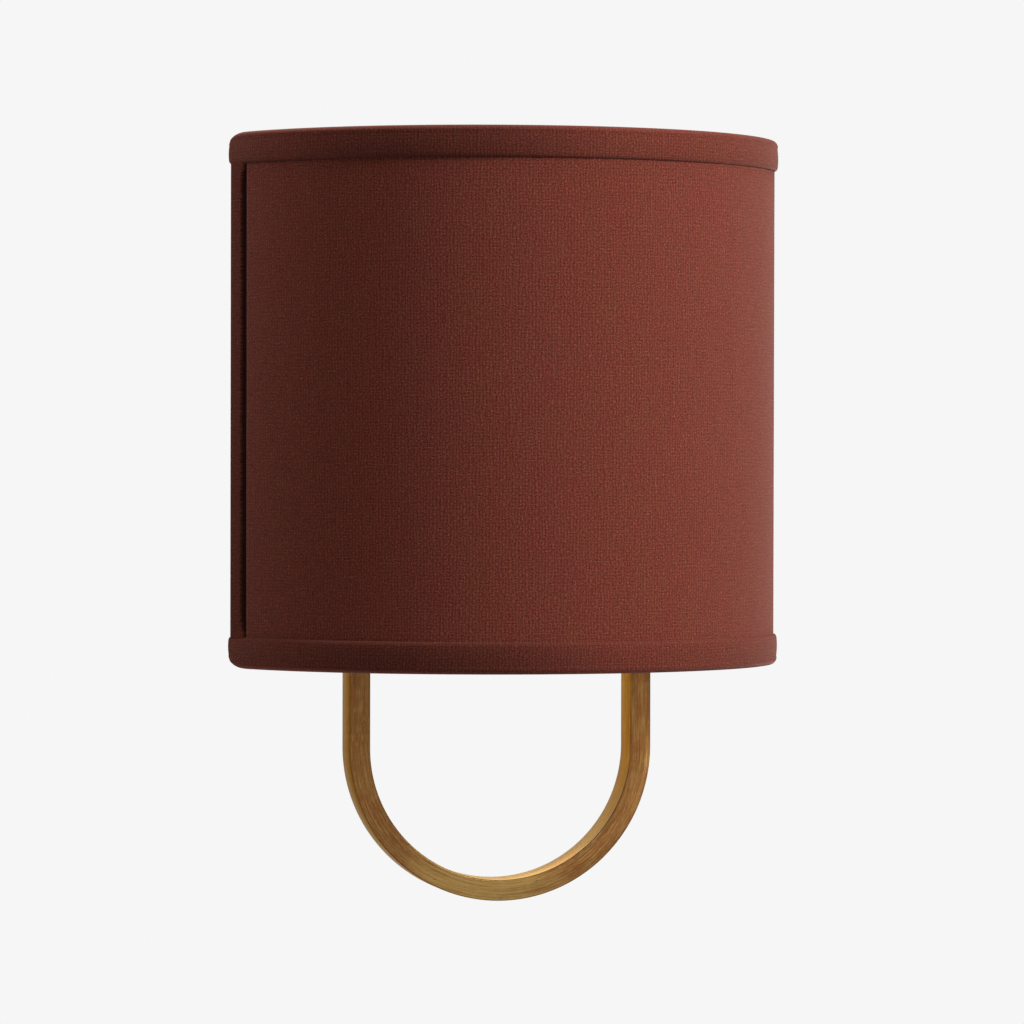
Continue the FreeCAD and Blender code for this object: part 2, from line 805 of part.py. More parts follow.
def bulb_filaments(side):
    x = side * lamp_x
    low = cap_top + stem_height + 2 * support_dia
    rods = []
    for k in range(filament_count):
        angle = 2 * math.pi * (k + 0.5) / filament_count
        rods.append(disc_z(x + filament_ring * math.cos(angle), lamp_y + filament_ring * math.sin(angle),
                           filament_dia / 2, low - support_dia / 2, low + filament_length - support_dia))
    return Part.makeCompound(rods).cut(bulb_supports(side))


# ---- Wiring
def lead_bushes():
    """Grommets in the pan, a flange on each side of the sheet."""
    bore = bush_bore / 2
    hole = bush_hole_dia / 2
    flange = bush_flange_dia / 2
    front = plate_front
    back = plate_back_of_front
    bushes = []
    for side in (-1, 1):
        profile = [(bore, back + bush_flange_thick), (flange, back + bush_flange_thick),
                   (flange, back), (hole, back), (hole, front), (flange, front),
                   (flange, front - bush_flange_thick), (bore, front - bush_flange_thick)]
        bushes.append(turned_y(side * lamp_x, bush_z, profile))
    return Part.makeCompound(bushes)


def lead(side):
    """Twin lead: down the nipple, back through its bush and across to the terminal block."""
    x = side * lamp_x
    start_z = shell_floor - glue_line - holder_wall
    block_x = side * block_pitch
    low = block_z - block_height / 2
    inside_y = -lead_depth
    points = [Vector(x, lamp_y, start_z), Vector(x, lamp_y, bush_z),
              Vector(x, inside_y, bush_z), Vector(block_x, inside_y, low - 2 * lead_bend),
              Vector(block_x, inside_y, low)]
    bend = min(lead_bend, (abs(inside_y - plate_back_of_front)) * 0.9)
    return tube(points, lead_dia, bend)


def pole_places():
    """Middle of each screw of the block, two on every pole."""
    rows = (block_z - block_height / 4, block_z + block_height / 4)
    return [(k * block_pitch, z) for k in (-1, 0, 1) for z in rows]


def terminal_block():
    """Three-way block on the pan's inner face, a pillar round each pole."""
    half = block_width / 2
    back = plate_back_of_front
    top = back + block_depth
    low = block_z - block_height / 2
    high = block_z + block_height / 2
    body = block(-half, half, back, top, low, high)
    for k in (-1, 1):
        middle = k * block_pitch / 2
        body = body.cut(block(middle - block_groove_width / 2, middle + block_groove_width / 2,
                              top - block_groove_depth, top, low, high))
    for x, z in pole_places():
        body = body.cut(disc_y(x, z, block_bore_dia / 2, top - block_bore_depth, top))
    return body


def terminal_screws():
    """Slotted screws down in the block's bores."""
    floor = plate_back_of_front + block_depth - block_bore_depth
    head = floor + block_screw_height
    radius = block_bore_dia / 2 - glue_line
    screws = []
    for x, z in pole_places():
        slot = block(x - radius, x + radius, head - block_slot_depth, head,
                     z - block_slot_width / 2, z + block_slot_width / 2)
        screws.append(disc_y(x, z, radius, floor, head).cut(slot))
    return Part.makeCompound(screws)


def earth_lead():
    """From the block's middle pole up to a ring under the earth screw."""
    high = block_z + block_height / 2
    ring_y = -bracket_sheet - earth_ring_thick
    ring_edge = earth_z - earth_ring_dia / 2
    run_y = ring_y - earth_lead_dia / 2 + earth_crimp_grip
    points = [Vector(0, -lead_depth, high), Vector(0, -lead_depth, high + earth_lead_rise),
              Vector(0, run_y, ring_edge - earth_lead_end),
              Vector(0, run_y, ring_edge + earth_core_grip)]
    wire = tube(points, earth_lead_dia, 2 * earth_lead_dia)
    ring = disc_y(0, earth_z, earth_ring_dia / 2, ring_y, -bracket_sheet)
    crimp = block(-earth_lead_dia / 2, earth_lead_dia / 2, ring_y, -bracket_sheet,
                  ring_edge - earth_crimp_length, earth_z)
    ring = ring.fuse(crimp)
    ring = ring.cut(disc_y(0, earth_z, earth_screw_dia / 2, ring_y, -bracket_sheet))
    wire = wire.cut(disc_y(0, earth_z, earth_head_dia / 2 + glue_line, ring_y - earth_head_thick, ring_y))
    return wire.fuse(ring).removeSplitter()


# ---- Shade
def ring_wire(z):
    """Round wire bent to the shade's arc."""
    circle = Part.makeCircle(wire_dia / 2, Vector(0, bow_y - wire_ring, z), Vector(1, 0, 0))
    return along_bow(Part.Face(Part.Wire([circle])), -layer_end, layer_end)


def side_upright():
    return disc_z(upright_x, upright_y, wire_dia / 2, -ring_z, ring_z)


def fold_section(r_out, r_in, edge, inner, upward, corner):
    """Section of a folded edge: two legs and a rounded fold. upward is 1 at the top."""

    def at(r, z):
        return Vector(0, bow_y - r, z)

    def arc(r, z, start, end):
        middle = math.radians((start + end) / 2)
        first = math.radians(start)
        last = math.radians(end)
        point = [at(r + corner * math.cos(a), z + upward * corner * math.sin(a))
                 for a in (first, middle, last)]
        return Part.Arc(point[0], point[1], point[2]).toShape()

    bend_z = edge - upward * corner
    edges = [Part.LineSegment(at(r_out, inner), at(r_out, bend_z)).toShape(),
             arc(r_out - corner, bend_z, 0, 90),
             Part.LineSegment(at(r_out - corner, edge), at(r_in + corner, edge)).toShape(),
             arc(r_in + corner, bend_z, 90, 180),
             Part.LineSegment(at(r_in, bend_z), at(r_in, inner)).toShape(),
             Part.LineSegment(at(r_in, inner), at(r_out, inner)).toShape()]
    return Part.Face(Part.Wire(edges))


def end_corner(upward):
    """What comes off a trim's corner at the shade's right back edge to make it round."""
    r = min(trim_end_round, 3 * trim_thick)
    edge = upward * shade_top
    middle = edge - upward * r
    front = bow_y - bow_radius - r
    back = bow_y - trim_inner + r
    square = block(-r, r, front, back, min(middle, edge), max(middle, edge))
    square = square.cut(disc_y(-r, middle, r, front, back))
    square.rotate(Vector(0, bow_y, 0), up, bow_end)
    return square


def edge_trim(upward):
    """Cloth tape folded over the ring wire, the skin and the liner, closed at its ends."""
    edge = upward * shade_top
    inner = edge - upward * trim_height
    room = (bow_radius - trim_inner) * 0.48
    corner = min(trim_round, room)
    section = fold_section(bow_radius, trim_inner, edge, inner, upward, corner)
    tape = along_bow(section, -bow_end, bow_end)
    beyond = inner - upward * trim_thick
    hollow = fold_section(bow_radius - trim_thick, trim_inner + trim_thick, edge - upward * trim_thick,
                          beyond, upward, max(corner - trim_thick, trim_thick))
    cavity_end = bow_end - turn(trim_thick)
    tape = tape.cut(along_bow(hollow, -cavity_end, cavity_end))
    leg_end = edge - upward * trim_inner_leg
    low = min(inner, leg_end)
    high = max(inner, leg_end)
    spare = band(trim_inner - trim_thick, wire_outer - wire_dia, low, high, -bow_end, bow_end)
    corner = end_corner(upward)
    return tape.cut(spare).cut(corner).cut(mirrored(corner))


def side_trim(over_skin):
    """Cloth tape folded round the shade's right back edge and its upright.

    One tape laps over the skin with a strip, the other ends flush with the skin."""
    wire_inner = wire_outer - wire_dia
    web_outer = strip_outer if over_skin else skin_outer
    web_from = strip_end - turn(strip_thick)
    between = shade_top - trim_inner_leg - glue_line
    leg_outer = wire_inner - glue_line
    leg_inner = leg_outer - strip_thick
    tape = band(wire_inner, web_outer, -ring_z, ring_z, web_from, strip_end)
    tape = tape.fuse(band(leg_inner, web_outer, -between, between, web_from, strip_end))
    if over_skin:
        strip_from = bow_end - turn(strip_width)
        tape = tape.fuse(band(strip_outer - strip_thick, strip_outer, -ring_z, ring_z,
                              strip_from, strip_end))
    leg_from = bow_end - turn(strip_inner_leg)
    tape = tape.fuse(band(leg_inner, leg_outer, -between, between, leg_from, strip_end))
    tape = tape.removeSplitter()
    for z0, z1 in (strap_span(), tab_span()):
        slit = block(0, upright_x + wire_dia / 4, strap_front - glue_line, strap_back + glue_line,
                     z0 - glue_line, z1 + glue_line)
        tape = tape.cut(slit)
    return tape


def strap_span():
    hook_roof = post_z + post_neck_dia / 2 + strap_rest_gap
    low = hook_roof - hook_depth
    return low, low + strap_height


def tab_span():
    return tab_z - tab_height / 2, tab_z + tab_height / 2


def shade_strap():
    """Flat strap across the shade's back, with two notches that hook over the posts."""
    low, high = strap_span()
    strap = block(-upright_x, upright_x, strap_front, strap_back, low, high)
    notch = post_neck_dia / 2 + strap_rest_gap
    flare = notch * hook_flare
    for side in (-1, 1):
        x = side * post_x
        strap = strap.cut(block(x - notch, x + notch, strap_front, strap_back, low, low + hook_depth))
        mouth = polygon([Vector(x - flare, strap_front, low), Vector(x + flare, strap_front, low),
                         Vector(x + notch, strap_front, low + flare - notch),
                         Vector(x - notch, strap_front, low + flare - notch)])
        strap = strap.cut(mouth.extrude(Vector(0, strap_thick, 0)))
        strap = strap.cut(side_upright() if side > 0 else mirrored(side_upright()))
    return strap


def rest_tab():
    """Short strap from the right upright to in front of the U's arm, it carries a bumper."""
    low, high = tab_span()
    inner_x = arm_x - tab_reach
    tab = block(inner_x + tab_height / 2, upright_x, strap_front, strap_back, low, high)
    tab = tab.fuse(disc_y(inner_x + tab_height / 2, tab_z, tab_height / 2, strap_front, strap_back))
    tab = tab.removeSplitter().cut(side_upright())
    return tab.cut(disc_y(arm_x, tab_z, bumper_neck_dia / 2, strap_front, strap_back))


def rest_bumpers():
    """Rubber buttons that keep the shade off the arms, snapped into the tabs."""
    body = bumper_dia / 2
    neck = bumper_neck_dia / 2
    head = bumper_head_dia / 2
    tip = bar_front - strap_rest_gap
    buttons = []
    for side in (-1, 1):
        profile = [(0, tip), (body - bumper_chamfer, tip), (body, tip - bumper_chamfer),
                   (body, strap_back),
                   (neck, strap_back), (neck, strap_front), (head, strap_front),
                   (head * bumper_head_flat, strap_front - bumper_head_thick),
                   (0, strap_front - bumper_head_thick)]
        buttons.append(turned_y(side * arm_x, tab_z, profile))
    return Part.makeCompound(buttons)


def build():
    parts = {
        "mounting_bracket": mounting_bracket(),
        "bracket_studs": bracket_studs(),
        "stud_nuts": stud_nuts(),
        "earth_screw": earth_screw(),
        "backplate": backplate(),
        "cap_nut_upper": cap_nut(stud_z),
        "cap_nut_lower": cap_nut(-stud_z),
        "u_frame": u_frame(),
        "u_frame_screws": u_frame_screws(),
        "u_frame_washers": u_frame_washers(),
        "shade_posts": shade_posts(),
        "post_nuts": post_nuts(),
        "lamp_yoke": lamp_yoke(),
        "yoke_rivets": yoke_rivets(),
        "lamp_nipples": lamp_nipples(),
        "nipple_nuts": nipple_nuts(),
        "lead_bushes": lead_bushes(),
        "terminal_block": terminal_block(),
        "terminal_screws": terminal_screws(),
        "earth_lead": earth_lead(),
        "shade_skin": band(skin_outer - skin_thick, skin_outer, -ring_z, ring_z,
                           turn(strip_width + seam_gap) - bow_end, layer_end),
        "shade_liner": band(liner_outer - liner_thick, liner_outer, -ring_z, ring_z,
                            -layer_end, layer_end),
        "top_ring": ring_wire(ring_z),
        "bottom_ring": ring_wire(-ring_z),
        "top_trim": edge_trim(1),
        "bottom_trim": edge_trim(-1),
        "side_trim_left": mirrored(side_trim(True)),
        "side_trim_right": side_trim(False),
        "shade_strap": shade_strap(),
        "rest_tab_left": mirrored(rest_tab()),
        "rest_tab_right": rest_tab(),
        "rest_bumpers": rest_bumpers(),
    }
    upright = side_upright().cut(parts["top_ring"]).cut(parts["bottom_ring"])
    parts["side_upright_left"] = mirrored(upright)
    parts["side_upright_right"] = upright
    for name, side in lamp_sides:
        parts["lampholder_" + name] = lampholder(side)
        parts["screw_shell_" + name] = screw_shell(side)
        parts["centre_contact_" + name] = centre_contact(side)
        parts["candle_sleeve_" + name] = candle_sleeve(side)
        parts["bulb_cap_" + name] = bulb_cap(side)
        parts["bulb_tip_" + name] = bulb_tip(side)
        parts["bulb_glass_" + name] = bulb_glass(side)
        parts["bulb_stem_" + name] = bulb_stem(side)
        parts["bulb_supports_" + name] = bulb_supports(side)
        parts["bulb_filaments_" + name] = bulb_filaments(side)
        parts["lead_" + name] = lead(side)
    return parts


os.makedirs("parts", exist_ok=True)
for node, shape in build().items():
    shape.exportStep("parts/%s.step" % node)
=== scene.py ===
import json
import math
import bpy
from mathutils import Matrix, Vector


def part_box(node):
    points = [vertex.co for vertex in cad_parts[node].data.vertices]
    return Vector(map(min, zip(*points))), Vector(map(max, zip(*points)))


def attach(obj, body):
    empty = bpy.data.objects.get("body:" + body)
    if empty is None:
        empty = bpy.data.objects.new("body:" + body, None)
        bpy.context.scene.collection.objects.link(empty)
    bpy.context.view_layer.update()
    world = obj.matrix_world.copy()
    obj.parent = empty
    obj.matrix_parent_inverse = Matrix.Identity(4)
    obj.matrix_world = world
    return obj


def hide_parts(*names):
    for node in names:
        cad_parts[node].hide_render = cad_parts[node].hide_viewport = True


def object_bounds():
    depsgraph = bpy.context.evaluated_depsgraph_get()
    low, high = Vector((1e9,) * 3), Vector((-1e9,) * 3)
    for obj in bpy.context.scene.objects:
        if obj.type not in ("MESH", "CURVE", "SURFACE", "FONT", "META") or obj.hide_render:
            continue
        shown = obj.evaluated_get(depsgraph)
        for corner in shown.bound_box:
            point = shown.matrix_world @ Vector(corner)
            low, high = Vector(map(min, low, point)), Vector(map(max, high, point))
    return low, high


bl_info = {
    "name": "Fabric shade wall light",
    "version": (1, 0, 0),
    "blender": (4, 5, 0),
    "location": "3D View > Sidebar > Wall light",
    "description": "Dresses a wall light with a linen half shade on a U of brushed brass bar",
    "category": "Add Mesh",
}

import bpy
from bpy.props import FloatProperty, FloatVectorProperty, IntProperty, PointerProperty
from mathutils import Matrix, Vector

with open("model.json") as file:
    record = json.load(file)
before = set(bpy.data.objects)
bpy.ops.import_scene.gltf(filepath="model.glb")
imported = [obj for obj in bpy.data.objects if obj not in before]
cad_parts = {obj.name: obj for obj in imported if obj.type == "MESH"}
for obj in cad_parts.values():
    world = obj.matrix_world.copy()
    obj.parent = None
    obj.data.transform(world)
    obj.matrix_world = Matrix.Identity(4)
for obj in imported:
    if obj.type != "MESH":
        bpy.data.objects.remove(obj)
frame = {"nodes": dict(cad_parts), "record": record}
CAD_LOW, CAD_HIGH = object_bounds()
MM = 0.001


# ------------------------ settings
def size(name, note, value, low=0.0):
    """A length in metres that the panel shows in the scene's units."""
    return FloatProperty(name=name, description=note, default=value, min=low, precision=5,
                         subtype="DISTANCE", unit="LENGTH")


def share(name, note, value, high=1.0):
    return FloatProperty(name=name, description=note, default=value, min=0.0, max=high,
                         subtype="FACTOR")


def colour(name, note, value):
    return FloatVectorProperty(name=name, description=note, default=value, size=3,
                               min=0.0, max=1.0, subtype="COLOR")


def watts(name, note, value):
    return FloatProperty(name=name, description=note, default=value, min=0.0, unit="POWER")


def degrees(name, note, value):
    return FloatProperty(name=name, description=note, default=math.radians(value),
                         subtype="ANGLE", unit="ROTATION")


class ClothSettings(bpy.types.PropertyGroup):
    thread: colour("Thread", "Colour of the linen where a thread lies on top",
                   (0.235, 0.0566, 0.0368))
    pit: colour("Pit", "Colour between the threads", (0.105, 0.0186, 0.0114))
    seam_shadow: colour("Seam shadow", "Colour at the bottom of the open seam",
                        (0.007, 0.0018, 0.0008))
    red_lot: colour("Red lot", "Dye where the cloth took more red", (1.0, 0.935, 0.955))
    brown_lot: colour("Brown lot", "Dye where the cloth took more brown", (0.985, 1.03, 0.955))
    sheen_tint: colour("Sheen", "Colour of the fibres' sheen", (0.95, 0.57, 0.49))
    sheen: share("Sheen strength", "How strongly the fibres catch grazing light", 0.33)
    pitch: size("Thread pitch", "From one thread of the linen to the next", 1.45 * MM)
    relief: size("Weave relief", "Height of a thread above the pits beside it", 0.16 * MM)
    slub: share("Slub", "How uneven the threads are", 0.18)
    weave: share("Weave", "How far the threads stand out of the fluff", 0.54)
    fluff: share("Fluff", "How rough the threads' own fibres are", 0.95)
    grain: share("Grain", "How much the single fibres differ in colour", 1.8, high=2.0)
    tape_dye: share("Tape dye", "Level of the tapes' colour beside the skin's", 0.86)
    # Painted shade: the tapes are darkened left of the middle, where the lamps light them least
    tape_shade: share("Tape lot", "Level of the tapes' colour where they ran darkest", 0.72)
    binding_dye: share("Binding dye", "Level of the bindings' colour beside the skin's", 0.71)
    lining: colour("Lining", "Colour of the film inside the shade", (0.80, 0.77, 0.69))


class ShadeSettings(bpy.types.PropertyGroup):
    bow: size("Bow", "Depth of the shade's arc, seen from above", 88.5 * MM)
    trim_height: size("Trim height", "Height of the edge tape outside", 14.2 * MM)
    trim_inner: size("Trim inner leg", "Height of the edge tape inside", 9.0 * MM)
    trim_cloth: size("Trim cloth", "Thickness of the edge tape", 0.7 * MM)
    trim_swell: size("Trim swell", "How far the tape's middle stands out from its lip", 0.45 * MM)
    fold: size("Fold", "Radius of the tape's fold over the ring wire", 3.0 * MM)
    lip_round: size("Lip round", "How far the tape's outer lip turns in to the linen", 1.45 * MM)
    wide_round: size("Wide corner", "Length of the tapes' rounded corners at the left", 12.0 * MM)
    tight_round: size("Tight corner", "Length of the tapes' rounded corners at the right", 5.0 * MM)
    strip_width: size("Binding width", "Width of the tape on the back edges", 10.0 * MM)
    seam_gap: size("Seam gap", "Open seam beside the left binding", 3.0 * MM)
    skin_cloth: size("Skin", "Thickness of the linen and its backing", 0.8 * MM)
    ripple: size("Ripple", "How far the cloth wanders from a true arc", 0.22 * MM)


class BarSettings(bpy.types.PropertyGroup):
    worn: colour("Worn brass", "Colour where the brushing is fresh", (0.37, 0.222, 0.070))
    patina: colour("Patina", "Colour where the brass has darkened", (0.215, 0.083, 0.024))
    # Painted highlight: the pale colour on the inner face at the bottom of the bend
    bright: colour("Bright brass", "Colour inside the bend, rubbed bright", (0.74, 0.64, 0.46))
    edge: colour("Edge", "Colour along the bar's darkened edges", (0.085, 0.036, 0.010))
    grazing: colour("Grazing", "Tint of what the brass mirrors at a grazing angle",
                    (0.80, 0.56, 0.32))
    brushing: share("Brushing", "How far the brushing spreads the shine across itself", 0.6)
    edge_round: size("Edge round", "Radius of the bar's long edges", 0.7 * MM)
    # Centre of the bend's wear and painted highlight, from the bend's bottom
    rub_shift: size("Rub shift", "From the bend's bottom to where it is rubbed most", 9.0 * MM)
    steps: IntProperty(name="Bend steps", description="Sections round the bend", default=96, min=24)


class StageSettings(bpy.types.PropertyGroup):
    paper: colour("Backdrop", "Colour behind the object", (0.922, 0.922, 0.922))
    floor: colour("Floor", "Colour of the floor", (0.80, 0.80, 0.80))
    floor_drop: size("Floor drop", "From the light's lowest point to the floor", 450 * MM)
    floor_radius: size("Floor radius", "Where the floor has faded out", 1100 * MM)
    camera: FloatVectorProperty(name="Camera", description="Place of the camera", size=3,
                                default=(-0.48918, -2.30884, -0.02099), subtype="XYZ",
                                unit="LENGTH")
    heading: degrees("Heading", "Turn of the camera to the right", 12.175)
    tilt: degrees("Tilt", "Tilt of the camera upwards", -0.71)
    lean: degrees("Lean", "Lean of the camera about its own line", 0.12)
    lens: FloatProperty(name="Lens", description="Focal length in millimetres", default=181.4)
    ambient: share("Ambient", "Level of the light from all round", 0.17)
    key: watts("Key", "Power of the lamp at the right", 43.0)
    top: watts("Top", "Power of the lamp overhead", 8.0)
    fill: watts("Fill", "Power of the small lamp at the upper left", 0.85)
    rim: watts("Rim", "Power of the small lamp beside the left back edge", 0.55)
    back: watts("Back", "Power of the lamp behind that picks out the bar's edges", 5.0)


GROUPS = {"light_cloth": ClothSettings, "light_shade": ShadeSettings, "light_bar": BarSettings,
          "light_stage": StageSettings}


def cloth():
    return bpy.context.scene.light_cloth


def shade():
    return bpy.context.scene.light_shade


def bar():
    return bpy.context.scene.light_bar


def stage():
    return bpy.context.scene.light_stage


# ------------------------ fixed sizes
BAR_THICK = 9.525 * MM
BOW_STEPS = 150             # sections round the bow in the linen, the film and the wires
SKIN_ROWS = 60              # rows up the linen and the bindings
CLOTH_GAP = 0.02 * MM       # between two layers of cloth that lie on each other
INNER_GAP = 0.4 * MM        # from the tapes' inner face to what is tucked into it
END_INSET = 0.9 * MM        # from the tapes' ends to the right binding's outer face
LAP_INSET = 0.3 * MM        # from the tapes' ends to the left binding's outer face
FOLD_ROLL = 1.1 * MM        # how soon a binding turns in before its outer face
BINDING_PROUD = 1.0 * MM    # how far the left binding stands out from the linen
BINDING_LEG = 9.0 * MM      # inner leg of a binding
BINDING_CLOTH = 0.4 * MM
BINDING_SWELL = 0.12 * MM   # how far the left binding's middle stands out
TAPE_ROUND = 1.1 * MM       # rounding of the tapes' cut ends
FILM_THICK = 0.5 * MM
UNDERLAP = 2.0 * MM         # how far the left binding runs on under the linen
SEAM_WEDGE = 8.0 * MM       # length over which the seam narrows at each end
SEAM_HEM = 3.0 * MM         # width of the binding's edge that is drawn over there
SEAM_CLOSED = 0.85          # share of the seam's gap that is closed there
RING_STOP = 1.5 * MM        # from the tapes' ends to the ring wires' ends
CORNER_DROP = 0.35          # how far a rounded corner drops, as a share of its length
CORNER_POWER = 2.4          # 2 is a corner of an ellipse, and more is squarer
TAPE_DARKEST = 45.0 * MM    # where the tapes' painted shade is darkest, left of the middle
GLASS_THICK = 0.6 * MM
BULB_NECK = 5.5 * MM
BULB_RISE = 32.0 * MM       # from the glass's lower end to its belly
THREAD_PITCH = 2.54 * MM
THREAD_DEPTH = 0.45 * MM
THREAD_START = 1.5 * MM     # lengths over which the thread rises and dies away
THREAD_STOP = 1.2 * MM
CAP_THICK = 0.35 * MM
CAP_PLAIN = 3.0 * MM        # length of the cap that holds no whole turn of the thread
CAP_TAPER = 1.2 * MM        # length over which the cap narrows at its lower end
CAP_RIM = 0.8 * MM          # plain rim above the thread
MERGE = 0.00001             # vertices closer than this become one
END_TURN = 0.0002           # turn within which a vertex lies on a tape's end
SEAM = "seam"               # attribute that says how deep in a seam's shadow the cloth lies
SHADE_BODY = "shade"
WALL_BODY = "wall_fitting"
UP = (0, 0, 1)


# ------------------------ places, from the frame
class Bow:
    """The shade's arc seen from above: its radii, its centre line and its half turn."""

    def __init__(self):
        low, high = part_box("top_trim")
        self.top = high.z
        self.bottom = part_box("bottom_trim")[0].z
        bow = shade().bow
        self.radius = (high.x ** 2 + bow ** 2) / (2 * bow)
        self.centre = low.y + self.radius
        self.end = math.asin(high.x / self.radius)
        self.inner = self.radius - (high.y - low.y - bow) / math.cos(self.end)
        self.middle = (self.radius + self.inner) / 2

    def point(self, radius, turn, z):
        return Vector((radius * math.sin(turn), self.centre - radius * math.cos(turn), z))

    def read(self, co):
        """Radius and turn of a point."""
        return math.hypot(co.x, self.centre - co.y), math.atan2(co.x, self.centre - co.y)

    def outwards(self, co):
        return Vector((co.x, co.y - self.centre, 0))

    def from_fold(self, middle):
        """For a folded strip: outwards outside its middle radius and inwards inside it."""
        return lambda co: self.outwards(co) * (1 if self.read(co)[0] > middle else -1)

    def flat(self, co, normal):
        """UV rule of a sheet on the bow: along the arc, and up."""
        return self.read(co)[1] * self.radius, co.z


# ------------------------ modelling helpers
def clear_selection():
    if bpy.context.object and bpy.context.object.mode != "OBJECT":
        bpy.ops.object.mode_set(mode="OBJECT")
    bpy.ops.object.select_all(action="DESELECT")


def pick(made):
    clear_selection()
    made.select_set(True)
    bpy.context.view_layer.objects.active = made


def select_mesh(action="SELECT"):
    bpy.ops.mesh.select_all(action=action)


def close_edit():
    bpy.ops.object.mode_set(mode="OBJECT")


def apply_place():
    """The primitive keeps its place and turn in its mesh, with the object at the origin."""
    bpy.ops.object.transform_apply(location=True, rotation=True, scale=True)


def extrude(move):
    bpy.ops.mesh.extrude_region_move(TRANSFORM_OT_translate={"value": move})


def open_mesh(name):
    """The new primitive gets its name and is opened for editing, with all of it selected."""
    made = bpy.context.object
    made.name = name
    made.data.name = name
    bpy.ops.object.mode_set(mode="EDIT")
    select_mesh()
    return made


def draw_chain(name, points):
    """A line of vertices: a plane merged to one point, then extruded from point to point."""
    clear_selection()
    bpy.ops.mesh.primitive_plane_add(size=1.0, location=(0, 0, 0))
    made = open_mesh(name)
    bpy.ops.mesh.merge(type="CENTER")
    bpy.ops.transform.translate(value=points[0])
    for before, after in zip(points, points[1:]):
        extrude(after - before)
    select_mesh()
    return made


def spin(steps, angle, centre, axis):
    """Sweeps the selection about the axis. The operator itself counts angles clockwise."""
    bpy.ops.mesh.spin(steps=steps, angle=-angle, center=centre, axis=axis)


def finish_edit(made, way_out):
    """Back to object mode. way_out says, for a face's middle, which way is out."""
    close_edit()
    votes = sum(1 if face.normal.dot(way_out(face.center)) > 0 else -1
                for face in made.data.polygons)
    if votes < 0:
        bpy.ops.object.mode_set(mode="EDIT")
        select_mesh()
        bpy.ops.mesh.flip_normals()
        close_edit()


def apply_modifier(made, kind, **settings):
    pick(made)
    modifier = made.modifiers.new(kind.title(), kind)
    for key, value in settings.items():
        setattr(modifier, key, value)
    bpy.ops.object.modifier_apply(modifier=modifier.name)


def bevel(made, width, segments, angle):
    apply_modifier(made, "BEVEL", width=width, segments=segments, limit_method="ANGLE",
                   angle_limit=math.radians(angle))


def thicken(made, thickness, even=False):
    """Gives the sheet its thickness on the inner side."""
    apply_modifier(made, "SOLIDIFY", thickness=thickness, offset=-1.0, use_even_offset=even)


def smooth(made, angle=40.0):
    pick(made)
    bpy.ops.object.shade_smooth_by_angle(angle=math.radians(angle))


def seal(merge=True):
    """Merges the doubles if asked, turns the faces outwards and leaves edit mode."""
    select_mesh()
    if merge:
        bpy.ops.mesh.remove_doubles(threshold=MERGE)
    bpy.ops.mesh.normals_make_consistent(inside=False)
    close_edit()


def paint_uv(made, rule, name="UVMap"):
    """UV in metres, from a rule that reads a corner's place and its face's normal."""
    mesh = made.data
    layer = mesh.uv_layers.get(name) or mesh.uv_layers.new(name=name)
    for face in mesh.polygons:
        for corner in face.loop_indices:
            co = mesh.vertices[mesh.loops[corner].vertex_index].co
            layer.data[corner].uv = rule(co, face.normal)


def paint_seam(made, rule):
    """How dark the cloth lies in a seam's shadow, from a rule that reads a place."""
    seam = made.data.attributes.new(SEAM, "FLOAT", "POINT")
    for vertex, value in zip(made.data.vertices, seam.data):
        value.value = rule(vertex.co)


def clamped(value, high=1.0):
    return min(high, max(0.0, value))


def dress(made, material, body, nodes):
    """The piece's finish, the body it rides on and the nodes that it stands for."""
    made.data.materials.clear()
    made.data.materials.append(material)
    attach(made, body)
    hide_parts(*nodes)


# ------------------------ material helpers
class Nodes:
    """A node tree that is put together a step at a time."""

    def __init__(self, tree):
        self.nodes = tree.nodes
        self.links = tree.links

    def set(self, node, key, value):
        """Links or sets the input that has this name or number."""
        socket = node.inputs[key]
        if isinstance(value, bpy.types.NodeSocket):
            self.links.new(value, socket)
        elif socket.type == "RGBA":
            socket.default_value = (*value, 1.0)
        else:
            socket.default_value = value

    def add(self, kind, settings=None, inputs=(), **values):
        """A node with its settings, its first inputs in their order and its named inputs."""
        node = self.nodes.new(kind)
        for key, value in (settings or {}).items():
            setattr(node, key, value)
        for k, value in enumerate(inputs):
            self.set(node, k, value)
        for key, value in values.items():
            self.set(node, key.replace("_", " "), value)
        return node

    def maths(self, operation, *inputs):
        return self.add("ShaderNodeMath", {"operation": operation}, inputs).outputs[0]

    def times(self, a, b):
        return self.maths("MULTIPLY", a, b)

    def plus(self, a, b):
        return self.maths("ADD", a, b)

    def less(self, a, b):
        return self.maths("SUBTRACT", a, b)

    def size_of(self, value):
        return self.maths("ABSOLUTE", value)

    def axes(self, vector):
        return self.add("ShaderNodeSeparateXYZ", Vector=vector).outputs

    def noise(self, vector, scale, detail=2.0, roughness=0.5):
        """Noise of one scale, or of one scale for each axis."""
        if isinstance(scale, tuple):
            vector = self.add("ShaderNodeMapping", Vector=vector, Scale=scale).outputs[0]
            scale = 1.0
        return self.add("ShaderNodeTexNoise", Vector=vector, Scale=scale, Detail=detail,
                        Roughness=roughness).outputs[0]

    def shifted(self, value, noise, reach):
        """The value moved to and fro by a noise, by half the reach at most."""
        return self.plus(value, self.times(self.less(noise, 0.5), reach))

    def span(self, value, low, high, to_low=0.0, to_high=1.0):
        """Remaps low..high to to_low..to_high with soft ends."""
        return self.add("ShaderNodeMapRange", {"interpolation_type": "SMOOTHSTEP"},
                        (value, low, high, to_low, to_high)).outputs[0]

    def blend(self, factor, a, b, mode="MIX"):
        node = self.add("ShaderNodeMix", {"data_type": "RGBA", "blend_type": mode})
        for key, value in ((0, factor), (6, a), (7, b)):
            self.set(node, key, value)
        return node.outputs[2]

    def tinted(self, base, tint):
        return self.blend(1.0, base, tint, "MULTIPLY")


